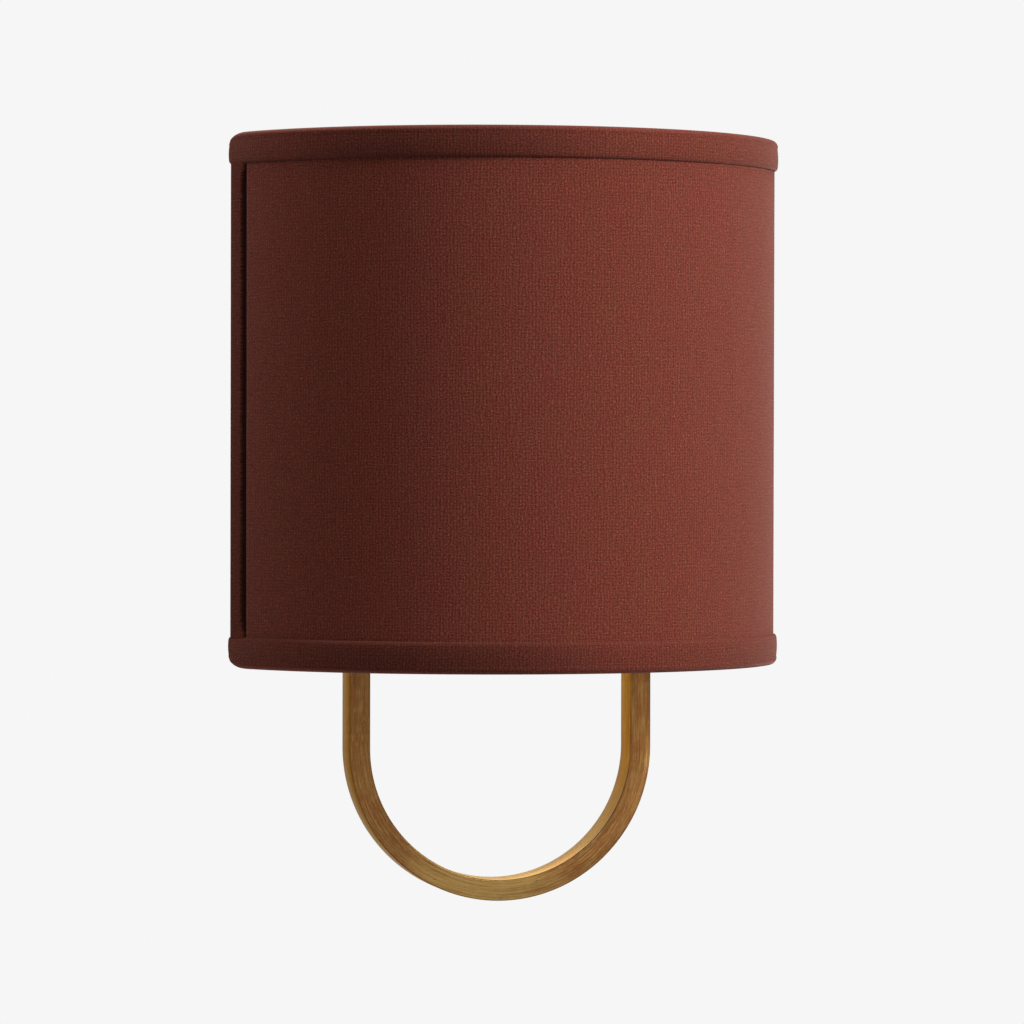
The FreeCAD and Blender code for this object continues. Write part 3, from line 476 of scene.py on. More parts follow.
class Finish(Nodes):
    """A material: a Principled shader with what is linked to it."""

    def __init__(self, name, **values):
        self.material = bpy.data.materials.new(name)
        self.material.use_nodes = True
        super().__init__(self.material.node_tree)
        self.shader = self.nodes["Principled BSDF"]
        self.give(**values)

    def give(self, **values):
        for key, value in values.items():
            self.set(self.shader, key.replace("_", " "), value)

    def uv(self, name="UVMap"):
        return self.add("ShaderNodeUVMap", {"uv_map": name}).outputs[0]

    def place(self):
        return self.add("ShaderNodeTexCoord").outputs["Object"]

    def bump(self, height, distance, strength=1.0):
        node = self.add("ShaderNodeBump", Height=height, Distance=distance, Strength=strength)
        self.give(Normal=node.outputs[0])


def scaled(tint, level):
    return tuple(level * channel for channel in tint)


def linen(name, dye=1.0, seam=False, sheen=1.0, lot=1.0):
    """Plain woven linen: round threads over and under, slubs, fluff and uneven dye.

    dye and sheen are levels beside the skin's, lot is the level of the tapes' painted shade
    where it is darkest, and seam paints shade on the cloth where its seam attribute says.
    """
    c = cloth()
    f = Finish(name, Roughness=0.93, Specular_IOR_Level=0.12, Sheen_Weight=sheen * c.sheen,
               Sheen_Roughness=0.4, Sheen_Tint=c.sheen_tint)
    uv = f.uv()
    u, v, _ = f.axes(uv)
    count = 1.0 / c.pitch
    # The threads lie closer here and wider there, and each wanders a little by itself
    crowd_u = f.noise(uv, (0.09 * count, 20.0, 1.0), detail=1.0)
    crowd_v = f.noise(uv, (20.0, 0.09 * count, 2.0), detail=1.0)
    wander_u = f.noise(uv, (0.55 * count, 130.0, 3.0), detail=1.0)
    wander_v = f.noise(uv, (130.0, 0.55 * count, 4.0), detail=1.0)
    u = f.shifted(f.shifted(u, crowd_u, 1.5 * c.pitch), wander_u, 1.5 * c.pitch)
    v = f.shifted(f.shifted(v, crowd_v, 1.5 * c.pitch), wander_v, 1.1 * c.pitch)
    wave_u = f.maths("SINE", f.times(u, math.pi * count))
    wave_v = f.maths("SINE", f.times(v, math.pi * count))
    over = f.times(wave_u, wave_v)
    # Slubs: thick and thin stretches along each thread
    slub_u = f.noise(uv, (count, 150.0, 5.0))
    slub_v = f.noise(uv, (120.0, count, 6.0))

    def threads_of(wave, level, slub, thickest):
        across = f.maths("POWER", f.size_of(wave), 0.7)
        uneven = f.span(slub, 0.25, 0.75, 1.0 - c.slub, 1.0 + thickest * c.slub)
        return f.times(f.times(across, level), uneven)

    rise = f.times(over, 0.26)
    warp = threads_of(wave_u, f.plus(0.68, rise), slub_u, 0.6)
    weft = threads_of(wave_v, f.less(0.52, rise), slub_v, 0.4)
    threads = f.times(f.maths("MAXIMUM", warp, weft), c.weave)
    fluff = f.noise(uv, (1.5 * count, 1.9 * count, 1.0), roughness=0.7)
    height = f.plus(f.shifted(threads, fluff, c.fluff), 0.5 - 0.5 * c.weave)
    base = f.blend(f.span(height, 0.18, 0.95), c.pit, c.thread)
    fibre = f.noise(uv, (2.0 * count, 2.6 * count, 8.0), roughness=0.8)
    base = f.tinted(base, f.shifted(1.0, fibre, 2.0 * c.grain))
    # Towards the shade's back edges the slubs lie longer along the bow
    long_slub = f.noise(uv, (0.3 * count, 1.7 * count, 9.0), roughness=0.7)
    sides = f.span(f.size_of(u), 50.0 * MM, 140.0 * MM, 0.1, 1.0)
    base = f.tinted(base, f.shifted(1.0, long_slub, f.times(sides, 1.1)))
    # The dye took unevenly; left of the middle the tapes get painted shade
    dyed = f.noise(uv, (75.0, 42.0, 7.0), detail=3.0, roughness=0.6)
    base = f.tinted(base, f.blend(f.span(dyed, 0.32, 0.68), scaled(c.red_lot, dye),
                                  scaled(c.brown_lot, dye)))
    # Painted shade on the tapes: lot is its level where it is darkest
    if lot < 1.0:
        from_darkest = f.size_of(f.plus(u, TAPE_DARKEST))
        base = f.tinted(base, f.span(from_darkest, 15.0 * MM, 85.0 * MM, lot, 1.0))
    # Painted shade from the seam attribute: in the open seam and under the tapes' lips
    if seam:
        dark = f.add("ShaderNodeAttribute", {"attribute_name": SEAM}).outputs["Fac"]
        base = f.blend(dark, base, c.seam_shadow)
    f.give(Base_Color=base)
    f.bump(height, c.relief)
    return f.material


def lining_film():
    """Styrene film: off white, faintly rippled, with fine dust and a slight gloss."""
    f = Finish("Lining film", Roughness=0.55, Specular_IOR_Level=0.35)
    uv = f.uv()
    cloudy = f.noise(uv, (14.0, 9.0, 1.0), detail=4.0)
    speck = f.noise(uv, (900.0, 900.0, 1.0), detail=1.0)
    tint = cloth().lining
    base = f.blend(f.span(cloudy, 0.35, 0.7), tint, scaled(tint, 0.9))
    base = f.blend(f.span(speck, 0.68, 0.8, 0.0, 0.3), base, (0.45, 0.38, 0.30))
    f.give(Base_Color=base, Roughness=f.span(cloudy, 0.3, 0.7, 0.48, 0.62))
    f.bump(f.plus(cloudy, f.times(speck, 0.05)), 0.6 * MM, 0.5)
    return f.material


def brushed_bar():
    """Flat bar brushed along its length and darkened, its edges darker and its face uneven."""
    s = bar()
    low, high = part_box("u_frame")
    f = Finish("Brushed antique brass", Metallic=1.0, Roughness=0.42, Anisotropic=s.brushing,
               Specular_Tint=s.grazing)
    tangent = f.add("ShaderNodeTangent", {"direction_type": "UV_MAP", "uv_map": "Along"})
    f.give(Tangent=tangent.outputs[0])
    along = f.uv("Along")
    across, deep, _ = f.axes(f.uv("Section"))
    half_deep = (high.y - low.y) / 2
    half_across = BAR_THICK / 2
    gap_across = f.less(half_across, f.size_of(across))
    gap_deep = f.less(half_deep, f.size_of(deep))
    to_edge = f.maths("MAXIMUM", gap_across, gap_deep)
    streak = f.noise(along, (55.0, 2600.0, 1.0), detail=3.0, roughness=0.6)
    hair = f.noise(along, (240.0, 7500.0, 2.0), roughness=0.6)
    blotch = f.noise(along, (60.0, 170.0, 1.0), detail=4.0, roughness=0.6)
    pits = f.noise(along, (420.0, 700.0, 1.0))
    # Partly wear where the bend is handled most, partly painted highlight: brighter than the arms
    run, _, _ = f.axes(along)
    arm = high.z - low.z - high.x
    bottom = arm + math.pi / 2 * (high.x - half_across)
    to_bend = f.size_of(f.less(run, bottom - s.rub_shift))
    rubbed = f.span(to_bend, 12.0 * MM, 44.0 * MM, 0.13, -0.07)
    worn = f.plus(f.plus(f.times(streak, 0.6), f.times(blotch, 0.4)), rubbed)
    base = f.blend(f.span(worn, 0.36, 0.64), s.patina, s.worn)
    # Painted shade: darker to the left, lighter up the right arm; the brushing shows as fine lines
    level = f.span(run, bottom + 60.0 * MM, bottom + 115.0 * MM, 0.86, 1.16)
    lines = f.noise(along, (26.0, 1400.0, 3.0), detail=3.0, roughness=0.7)
    base = f.tinted(base, f.times(level, f.shifted(1.0, lines, 1.5)))
    # Painted shade: the outer face is darkened down the left arm and round the left of the bend
    outside = f.span(across, half_across - 0.3 * MM, half_across - 0.05 * MM)
    outer_shade = f.times(outside, f.span(run, bottom - 50.0 * MM, bottom, 0.75, 0.0))
    base = f.blend(outer_shade, base, s.edge)
    # Painted highlight: the inner face is painted bright at the bottom
    inside = f.span(across, 0.05 * MM - half_across, 0.3 * MM - half_across, 1.0, 0.0)
    from_bottom = f.size_of(f.less(run, bottom))
    bright = f.times(inside, f.span(from_bottom, 40.0 * MM, 110.0 * MM, 0.32, 0.0))
    base = f.blend(bright, base, s.bright)
    # Bare scratches, dark pits and darkened edges
    base = f.blend(f.span(hair, 0.54, 0.72, 0.0, 0.4), base, (0.62, 0.44, 0.20))
    base = f.blend(f.span(pits, 0.64, 0.74, 0.0, 0.5), base, s.edge)
    edge = f.span(f.shifted(to_edge, streak, 0.7 * MM), 0.1 * MM, 0.7 * MM, 0.6, 0.0)
    base = f.blend(edge, base, s.edge)
    f.give(Base_Color=base, Roughness=f.plus(f.span(streak, 0.3, 0.7, 0.30, 0.46),
                                             f.times(edge, 0.08)))
    grain = f.plus(f.times(streak, 0.7), f.times(hair, 0.5))
    grain = f.less(grain, f.span(pits, 0.64, 0.78, 0.0, 0.6))
    f.bump(grain, 0.05 * MM, 0.8)
    return f.material


def metal(name, tint, dull, rough, grain=(900.0, 900.0, 900.0), depth=0.02 * MM, metallic=1.0):
    """Plated, enamelled or turned metal: clouded colour, fine grain and dulled patches."""
    f = Finish(name, Metallic=metallic, Roughness=rough)
    place = f.place()
    cloud = f.noise(place, 55.0, detail=4.0)
    fine = f.noise(place, grain)
    base = f.blend(f.span(cloud, 0.38, 0.68), tint, dull)
    base = f.blend(f.span(fine, 0.6, 0.8, 0.0, 0.25), base, scaled(dull, 0.55))
    f.give(Base_Color=base,
           Roughness=f.span(cloud, 0.3, 0.7, rough * 0.8, min(rough * 1.3, 1.0)))
    f.bump(fine, depth, 0.6)
    return f.material


def wire_enamel(name):
    return metal(name, (0.80, 0.79, 0.76), (0.70, 0.69, 0.64), 0.45, metallic=0.0)


def moulded(name, tint, rough, coarse=700.0, depth=0.03 * MM):
    """Moulded or rubbery stuff: fine pebbling and faint handling marks."""
    f = Finish(name, Roughness=rough, Specular_IOR_Level=0.4)
    place = f.place()
    pebble = f.noise(place, coarse)
    mark = f.noise(place, (60.0, 60.0, 160.0), detail=4.0)
    paler = tuple(min(1.0, 1.18 * c + 0.01) for c in tint)
    f.give(Base_Color=f.blend(f.span(mark, 0.42, 0.72), tint, paler),
           Roughness=f.span(mark, 0.35, 0.7, rough * 0.85, min(rough * 1.15, 1.0)))
    f.bump(pebble, depth, 0.7)
    return f.material


def bulb_glass():
    """Thin clear glass, faintly rippled."""
    f = Finish("Bulb glass", Roughness=0.02, IOR=1.45, Transmission_Weight=1.0,
               Base_Color=(0.97, 0.98, 0.97))
    ripple = f.noise(f.place(), (40.0, 40.0, 22.0), detail=1.0)
    f.give(Roughness=f.span(ripple, 0.3, 0.7, 0.0, 0.03))
    f.bump(ripple, 0.05 * MM, 0.25)
    return f.material


def phosphor():
    """Grainy yellow coat on the filament rods."""
    f = Finish("Filament phosphor", Roughness=0.7)
    grain = f.noise(f.place(), 2600.0)
    f.give(Base_Color=f.blend(f.span(grain, 0.4, 0.65), (0.86, 0.60, 0.15), (0.95, 0.74, 0.30)))
    f.bump(grain, 0.05 * MM, 0.5)
    return f.material


# ------------------------ the shade
def bow_sheet(name, bow, section, turn0, turn1, steps):
    """An open line of (radius, z) points swept round the shade's arc."""
    points = [bow.point(r, turn0, z) for r, z in section]
    made = draw_chain(name, points)
    spin(steps, turn1 - turn0, (0, bow.centre, 0), UP)
    return made


class LIGHT_OT_linen_skin(bpy.types.Operator):
    """The linen panel, from the open seam at the left to the binding at the right"""

    bl_idname = "wall_light.linen_skin"
    bl_label = "Linen skin"

    def execute(self, context):
        s = shade()
        bow = Bow()
        low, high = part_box("shade_skin")
        radius = bow.centre - low.y
        step = (high.z - low.z) / SKIN_ROWS
        section = [(radius, low.z + step * k) for k in range(SKIN_ROWS + 1)]
        start = (s.strip_width + s.seam_gap) / bow.radius - bow.end
        stop = bow.end - (END_INSET + FOLD_ROLL) / bow.radius
        skin = bow_sheet("linen_skin", bow, section, start, stop, BOW_STEPS)
        finish_edit(skin, bow.outwards)
        tuck_corners(skin, bow)
        ripple = bpy.data.textures.new("Cloth ripple", "CLOUDS")
        ripple.noise_scale = 0.045
        apply_modifier(skin, "DISPLACE", texture=ripple, strength=s.ripple, mid_level=0.5,
                       texture_coords="LOCAL")
        thicken(skin, s.skin_cloth)
        bevel(skin, 0.2 * MM, 2, 50)
        smooth(skin)
        paint_uv(skin, bow.flat)
        dress(skin, linen("Linen"), SHADE_BODY, ["shade_skin"])
        return {"FINISHED"}


def tape_section(bow, edge, upward):
    """Section of the edge tape, from its outer lip over the fold to its inner lip."""
    s = shade()
    outer = bow.radius
    lip = edge - upward * s.trim_height
    bend = edge - upward * s.fold
    soft = 1.4 * s.lip_round
    points = []
    for k in range(6):
        angle = math.pi / 2 * k / 6
        points.append((outer - s.trim_swell * 0.5 - s.lip_round * (1 - math.sin(angle)),
                       lip + upward * soft * (1 - math.cos(angle))))
    rows = 10
    for k in range(rows + 1):
        t = k / rows
        height = lip + upward * soft + (bend - lip - upward * soft) * t
        swell = math.sin(math.pi * (0.2 + 0.7 * t))
        points.append((outer - s.trim_swell * (1.0 - swell), height))
    half = (outer - bow.inner) / 2
    turns = 10
    for k in range(1, turns):
        angle = math.pi * k / turns
        points.append((bow.middle + half * math.cos(angle),
                       bend + upward * s.fold * math.sin(angle)))
    inner_lip = edge - upward * s.trim_inner
    for k in range(5):
        t = k / 4
        points.append((bow.inner, bend + (inner_lip - bend) * t))
    points.append((bow.inner + INNER_GAP, inner_lip + upward * CLOTH_GAP))
    return points


def corner_drop(bow, turn):
    """How far the shade's corner is rounded off here."""
    s = shade()
    length = s.wide_round if turn < 0 else s.tight_round
    reach = (bow.end - abs(turn)) * bow.radius
    if reach >= length:
        return 0.0
    short = min(1.0, 1.0 - reach / length)
    rounded = (1 - short ** CORNER_POWER) ** (1 / CORNER_POWER)
    return CORNER_DROP * length * (1 - rounded)


def rounded_height(bow, co, edge, upward):
    """Height of the place once the shade's corners are rounded off."""
    _, turn = bow.read(co)
    lip = edge - upward * shade().trim_height
    part = (co.z - lip) / (edge - lip)
    return lip + (edge - upward * corner_drop(bow, turn) - lip) * part


def tuck_corners(made, bow):
    """Keeps what the tapes cover inside their round corners."""
    trim = shade().trim_height
    for vertex in made.data.vertices:
        if vertex.co.z > bow.top - trim:
            vertex.co.z = rounded_height(bow, vertex.co, bow.top, 1)
        elif vertex.co.z < bow.bottom + trim:
            vertex.co.z = rounded_height(bow, vertex.co, bow.bottom, -1)


def close_tape_end(made, bow, side):
    """One face across the end of the tape, from its outer lip to its inner lip."""
    bpy.ops.object.mode_set(mode="EDIT")
    bpy.ops.mesh.select_mode(type="VERT")
    select_mesh("DESELECT")
    close_edit()
    for vertex in made.data.vertices:
        vertex.select = abs(bow.read(vertex.co)[1] - side * bow.end) < END_TURN
    bpy.ops.object.mode_set(mode="EDIT")
    bpy.ops.mesh.edge_face_add()
    close_edit()


class LIGHT_OT_edge_tapes(bpy.types.Operator):
    """The cloth tapes folded over the shade's top and bottom wires"""

    bl_idname = "wall_light.edge_tapes"
    bl_label = "Edge tapes"

    def execute(self, context):
        bow = Bow()
        material = linen("Linen tape", dye=cloth().tape_dye, seam=True, lot=cloth().tape_shade)
        self.tape("top_tape", bow, bow.top, 1, material, "top_trim")
        self.tape("bottom_tape", bow, bow.bottom, -1, material, "bottom_trim")
        return {"FINISHED"}

    def tape(self, name, bow, edge, upward, material, node):
        s = shade()
        section = tape_section(bow, edge, upward)
        made = bow_sheet(name, bow, section, -bow.end, bow.end, BOW_STEPS * 2)
        close_edit()
        for vertex in made.data.vertices:
            vertex.co.z = rounded_height(bow, vertex.co, edge, upward)
        for side in (-1, 1):
            close_tape_end(made, bow, side)
        finish_edit(made, bow.from_fold(bow.middle))
        bevel(made, TAPE_ROUND, 3, 55)
        thicken(made, s.trim_cloth, even=True)
        smooth(made, 55)
        lip = edge - upward * s.trim_height
        # Painted shade under the lip, deeper under the top tape, where the light comes from above
        deepest = 0.7 if upward > 0 else 0.3

        def shadow(co):
            """Dark under the outer lip, where it turns in to the linen."""
            radius, _ = bow.read(co)
            if radius <= bow.middle or abs(co.z - lip) >= 2.0 * s.lip_round:
                return 0.0
            sunk = (bow.radius - s.trim_swell - 0.3 * MM - radius) / s.lip_round
            return clamped(2.0 * sunk, deepest)

        def unfold(co, normal):
            """The tape's ends, its inner half and its outer half, each laid out flat."""
            radius, turn = bow.read(co)
            sunk = bow.radius - radius
            if abs(normal.x * math.cos(turn) + normal.y * math.sin(turn)) > 0.7:
                return math.copysign(bow.end * bow.radius + sunk, turn), co.z
            if radius < bow.middle:
                return turn * bow.radius, 2 * edge - co.z + upward * sunk
            part = (co.z - lip) / (edge - lip)
            return turn * bow.radius, co.z + upward * (2 * part - 1) * sunk

        paint_seam(made, shadow)
        paint_uv(made, unfold)
        dress(made, material, SHADE_BODY, [node])


class LIGHT_OT_side_bindings(bpy.types.Operator):
    """The cloth tapes folded round the shade's two back edges"""

    bl_idname = "wall_light.side_bindings"
    bl_label = "Side bindings"

    def execute(self, context):
        bow = Bow()
        material = linen("Linen binding", dye=cloth().binding_dye, seam=True, sheen=0.1)
        for side, name in ((-1, "left"), (1, "right")):
            self.binding("binding_" + name, bow, side, material, "side_trim_" + name)
        return {"FINISHED"}

    def binding(self, name, bow, side, material, node):
        s = shade()
        low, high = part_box(node)
        skin = bow.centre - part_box("shade_skin")[0].y
        laps = side < 0
        outer = skin + (BINDING_PROUD if laps else 0.0)
        inner = bow.inner + INNER_GAP
        floor = skin - s.skin_cloth - CLOTH_GAP
        middle = (outer + inner) / 2
        back = bow.end - (LAP_INSET if laps else END_INSET) / bow.radius
        front = bow.end - s.strip_width / bow.radius
        roll = FOLD_ROLL / bow.radius

        def at(radius, turn):
            return bow.point(radius, side * turn, low.z)

        points = []
        if laps:
            points += [at(floor, front - (s.seam_gap + UNDERLAP) / bow.radius),
                       at(floor, front - roll)]
            for k in range(1, 6):
                angle = math.pi / 2 * k / 5
                points.append(at(floor + (outer - floor) * math.sin(angle),
                                 front - roll * (0.35 - 1.35 * (1 - math.cos(angle)))))
            rows = 6
            start = front + 1.2 * roll
            for k in range(rows):
                points.append(at(outer + BINDING_SWELL * math.sin(math.pi * k / rows),
                                 start + (back - roll - start) * k / rows))
        for k in range(9):
            angle = math.pi * k / 8
            points.append(at(middle + (outer - inner) / 2 * math.cos(angle),
                             back - roll * (1 - math.sin(angle))))
        stop = bow.end - BINDING_LEG / bow.radius
        for k in range(1, 4):
            points.append(at(inner, back - roll + (stop - back + roll) * k / 3))
        made = draw_chain(name, points)
        for _ in range(SKIN_ROWS):
            extrude((0, 0, (high.z - low.z) / SKIN_ROWS))
        finish_edit(made, bow.from_fold(middle))
        if laps:
            self.close_seam(made, bow, front)
        tuck_corners(made, bow)
        thicken(made, BINDING_CLOTH, even=True)
        smooth(made, 50)

        def shadow(co):
            """Dark towards the bottom of the open seam."""
            radius, turn = bow.read(co)
            if not laps or turn * side >= front + 1.0 * MM / bow.radius:
                return 0.0
            return clamped((outer - radius) / (outer - floor) * 1.25)

        def unfold(co, normal):
            """The binding's inner leg and its outer leg, laid out flat."""
            radius, turn = bow.read(co)
            along = abs(turn)
            if radius < middle:
                along = 2 * back - along
            return side * (along * bow.radius + outer - radius), co.z

        paint_seam(made, shadow)
        paint_uv(made, unfold)
        dress(made, material, SHADE_BODY, [node])

    def close_seam(self, made, bow, front):
        """Draws the binding's rolled edge over to the linen where the tapes hold it down."""
        s = shade()
        lips = (bow.bottom + s.trim_height, bow.top - s.trim_height)
        hem = SEAM_HEM / bow.radius
        for vertex in made.data.vertices:
            radius, turn = bow.read(vertex.co)
            reach = min(vertex.co.z - lips[0], lips[1] - vertex.co.z)
            near = max(0.0, 1.0 - max(0.0, reach) / SEAM_WEDGE)
            weight = clamped((front + hem + turn) / hem)
            if near and weight and radius > bow.inner + 3.0 * MM:
                shift = SEAM_CLOSED * s.seam_gap / bow.radius * near ** 1.5 * weight
                vertex.co = bow.point(radius, turn + shift, vertex.co.z)


class LIGHT_OT_ring_wires(bpy.types.Operator):
    """The wires in the folds of the tapes, bent down at the shade's corners"""

    bl_idname = "wall_light.ring_wires"
    bl_label = "Ring wires"

    def execute(self, context):
        bow = Bow()
        enamel = wire_enamel("Ring enamel")
        for name, upward in (("top_ring", 1), ("bottom_ring", -1)):
            self.wire(name, upward, bow, enamel)
        return {"FINISHED"}

    def wire(self, node, upward, bow, material):
        low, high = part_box(node)
        radius = (high.z - low.z) / 2
        ring = bow.centre - low.y - radius
        level = (high.z + low.z) / 2
        stop = bow.end - RING_STOP / bow.radius
        clear_selection()
        bpy.ops.mesh.primitive_circle_add(vertices=14, radius=radius, fill_type="NGON",
                                          location=bow.point(ring, -stop, level),
                                          rotation=(math.pi / 2, 0, math.pi / 2 - stop))
        apply_place()
        made = open_mesh("wire_" + node.split("_")[0])
        spin(BOW_STEPS, 2 * stop, (0, bow.centre, 0), UP)
        seal(merge=False)
        for vertex in made.data.vertices:
            vertex.co.z -= upward * corner_drop(bow, bow.read(vertex.co)[1])
        smooth(made, 50)
        dress(made, material, SHADE_BODY, [node])


class LIGHT_OT_lining(bpy.types.Operator):
    """The film inside the shade that stiffens the linen"""

    bl_idname = "wall_light.lining"
    bl_label = "Lining"

    def execute(self, context):
        bow = Bow()
        low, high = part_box("shade_liner")
        radius = bow.centre - low.y
        stop = math.asin(high.x / radius)
        section = [(radius, low.z), (radius, high.z)]
        film = bow_sheet("lining_film", bow, section, -stop, stop, BOW_STEPS)
        finish_edit(film, bow.outwards)
        tuck_corners(film, bow)
        thicken(film, FILM_THICK)
        smooth(film)
        paint_uv(film, bow.flat)
        dress(film, lining_film(), SHADE_BODY, ["shade_liner"])
        return {"FINISHED"}


# ------------------------ the U bar
class LIGHT_OT_u_bar(bpy.types.Operator):
    """The flat brass bar bent into a U"""

    bl_idname = "wall_light.u_bar"
    bl_label = "U bar"

    def execute(self, context):
        s = bar()
        low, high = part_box("u_frame")
        outer = high.x
        middle = outer - BAR_THICK / 2
        arc_z = low.z + outer
        deep = high.y - low.y
        centre_y = (high.y + low.y) / 2
        clear_selection()
        bpy.ops.mesh.primitive_plane_add(size=1.0, location=(-middle, centre_y, high.z))
        bpy.ops.transform.resize(value=(BAR_THICK, deep, 1.0))
        apply_place()
        made = open_mesh("u_bar")
        down = Vector((0, 0, arc_z - high.z))
        extrude(down)
        spin(s.steps, math.pi, (0, centre_y, arc_z), (0, -1, 0))
        extrude(-down)
        seal()
        bevel(made, s.edge_round, 3, 60)
        smooth(made, 35)

        def spread(co):
            """Distance along the bar, and from its middle line across its thickness."""
            arm = high.z - arc_z
            if co.z >= arc_z:
                along = high.z - co.z if co.x < 0 else arm + math.pi * middle + co.z - arc_z
                return along, abs(co.x) - middle
            angle = math.atan2(arc_z - co.z, -co.x)
            return arm + middle * angle, math.hypot(co.x, co.z - arc_z) - middle

        def along(co, normal):
            run, across = spread(co)
            return run, (across if abs(normal.y) > 0.7 else co.y + deep)

        paint_uv(made, along, "Along")
        paint_uv(made, lambda co, n: (spread(co)[1], co.y - centre_y), "Section")
        dress(made, brushed_bar(), WALL_BODY, ["u_frame"])
        return {"FINISHED"}


# ------------------------ bulbs
def curve(a, b, c, d, t):
    """Point of the smooth curve from a to d that b and c pull on."""
    s = 1 - t
    return [p * s ** 3 + 3 * q * s * s * t + 3 * r * s * t * t + w * t ** 3
            for p, q, r, w in zip(a, b, c, d)]


class LIGHT_OT_bulbs(bpy.types.Operator):
    """The candle bulbs: thin glass with a drawn crown, and the threaded cap"""

    bl_idname = "wall_light.bulbs"
    bl_label = "Bulbs"

    def execute(self, context):
        glass = bulb_glass()
        brass = metal("Cap brass", (0.78, 0.60, 0.30), (0.62, 0.44, 0.18), 0.28)
        for name in ("left", "right"):
            self.glass(name, glass)
            self.cap(name, brass)
        return {"FINISHED"}

    def middle(self, node):
        low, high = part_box(node)
        return (low + high) / 2, low, high

    def glass(self, name, material):
        centre, low, high = self.middle("bulb_glass_" + name)
        belly = (high.x - low.x) / 2
        tall = high.z - low.z
        half_way = BULB_RISE + (tall - BULB_RISE) * 0.5
        rows = 14
        crown_rows = 19
        lower = [curve((BULB_NECK, 0), (BULB_NECK, BULB_RISE / 2), (belly, BULB_RISE / 2),
                       (belly, BULB_RISE), k / rows) for k in range(rows + 1)]
        crown = [curve((belly, BULB_RISE), (belly, half_way), (belly * 0.4, tall),
                       (0.0, tall), k / crown_rows) for k in range(1, crown_rows + 1)]
        made = draw_chain("glass_" + name, [Vector((centre.x + radius, centre.y, low.z + height))
                                            for radius, height in lower + crown])
        spin(48, math.tau, (centre.x, centre.y, 0), UP)
        seal()
        finish_edit(made, lambda co: co - centre)
        thicken(made, GLASS_THICK)
        smooth(made, 60)
        dress(made, material, "bulb_" + name, ["bulb_glass_" + name])

    def cap(self, name, material):
        centre, low, high = self.middle("bulb_cap_" + name)
        outer = (high.x - low.x) / 2
        tall = high.z - low.z
        turns = int((tall - CAP_PLAIN) / THREAD_PITCH)
        clear_selection()
        bpy.ops.mesh.primitive_cylinder_add(vertices=36, radius=outer, depth=tall,
                                            end_fill_type="NOTHING", location=centre)
        apply_place()
        made = open_mesh("bulb_thread_" + name)
        cuts = turns * 12
        for k in range(1, cuts):
            select_mesh()
            bpy.ops.mesh.bisect(plane_co=(0, 0, low.z + tall * k / cuts), plane_no=(0, 0, 1))
        close_edit()
        for vertex in made.data.vertices:
            co = vertex.co
            angle = math.atan2(co.y - centre.y, co.x - centre.x)
            height = co.z - low.z
            wave = 0.5 - 0.5 * math.cos(math.tau * height / THREAD_PITCH - angle)
            fade = min(1.0, max(0.0, (height - CAP_TAPER) / THREAD_START),
                       max(0.0, (tall - CAP_RIM - height) / THREAD_STOP))
            taper = max(0.0, CAP_TAPER - height) * 0.9
            radius = outer - THREAD_DEPTH * wave * fade - taper
            co.x = centre.x + radius * math.cos(angle)
            co.y = centre.y + radius * math.sin(angle)
        finish_edit(made, lambda co: Vector((co.x - centre.x, co.y - centre.y, 0)))
        thicken(made, CAP_THICK)
        smooth(made, 60)
        dress(made, material, "bulb_" + name, ["bulb_cap_" + name])


# ------------------------ finishes of the fitting
class LIGHT_OT_fitting(bpy.types.Operator):
    """Finishes of the pan, the bracket, the lampholders, the frame wires and the fasteners"""

    bl_idname = "wall_light.fitting"
    bl_label = "Fitting"

    def execute(self, context):
        by_slot = {
            "white_pan": metal("White enamel", (0.70, 0.69, 0.655), (0.65, 0.63, 0.585), 0.38,
                               grain=(380.0, 380.0, 380.0), depth=0.03 * MM, metallic=0.0),
            "white_wire": wire_enamel("Wire enamel"),
            "zinc_steel": metal("Zinc plate", (0.60, 0.60, 0.58), (0.46, 0.47, 0.46), 0.36),
            "antique_brass": metal("Turned brass", bar().worn, bar().patina, 0.34,
                                   grain=(260.0, 2600.0, 260.0)),
            "plain_brass": metal("Rolled brass", (0.76, 0.56, 0.26), (0.58, 0.40, 0.15), 0.30),
            "black_moulding": moulded("Black moulding", (0.022, 0.021, 0.020), 0.42),
            "candle_card": moulded("Ivory card", (0.80, 0.74, 0.60), 0.62, coarse=1500.0),
            "lead_covering": moulded("Lead covering", (0.74, 0.72, 0.68), 0.5, coarse=1400.0),
            "earth_green": moulded("Earth covering", (0.05, 0.24, 0.07), 0.45, coarse=1400.0),
            "block_plastic": moulded("Block plastic", (0.78, 0.77, 0.71), 0.45),
            "bumper_rubber": moulded("Bumper rubber", (0.03, 0.03, 0.03), 0.75, coarse=1100.0),
            "clear_glass": bulb_glass(),
            "filament_phosphor": phosphor(),
        }
        slots = {part["node"]: part["material_slot"] for part in frame["record"]["subparts"]}
        for node, made in frame["nodes"].items():
            material = by_slot.get(slots[node])
            if material is None or made.hide_render:
                continue
            for slot in made.material_slots:
                slot.material = material
        return {"FINISHED"}


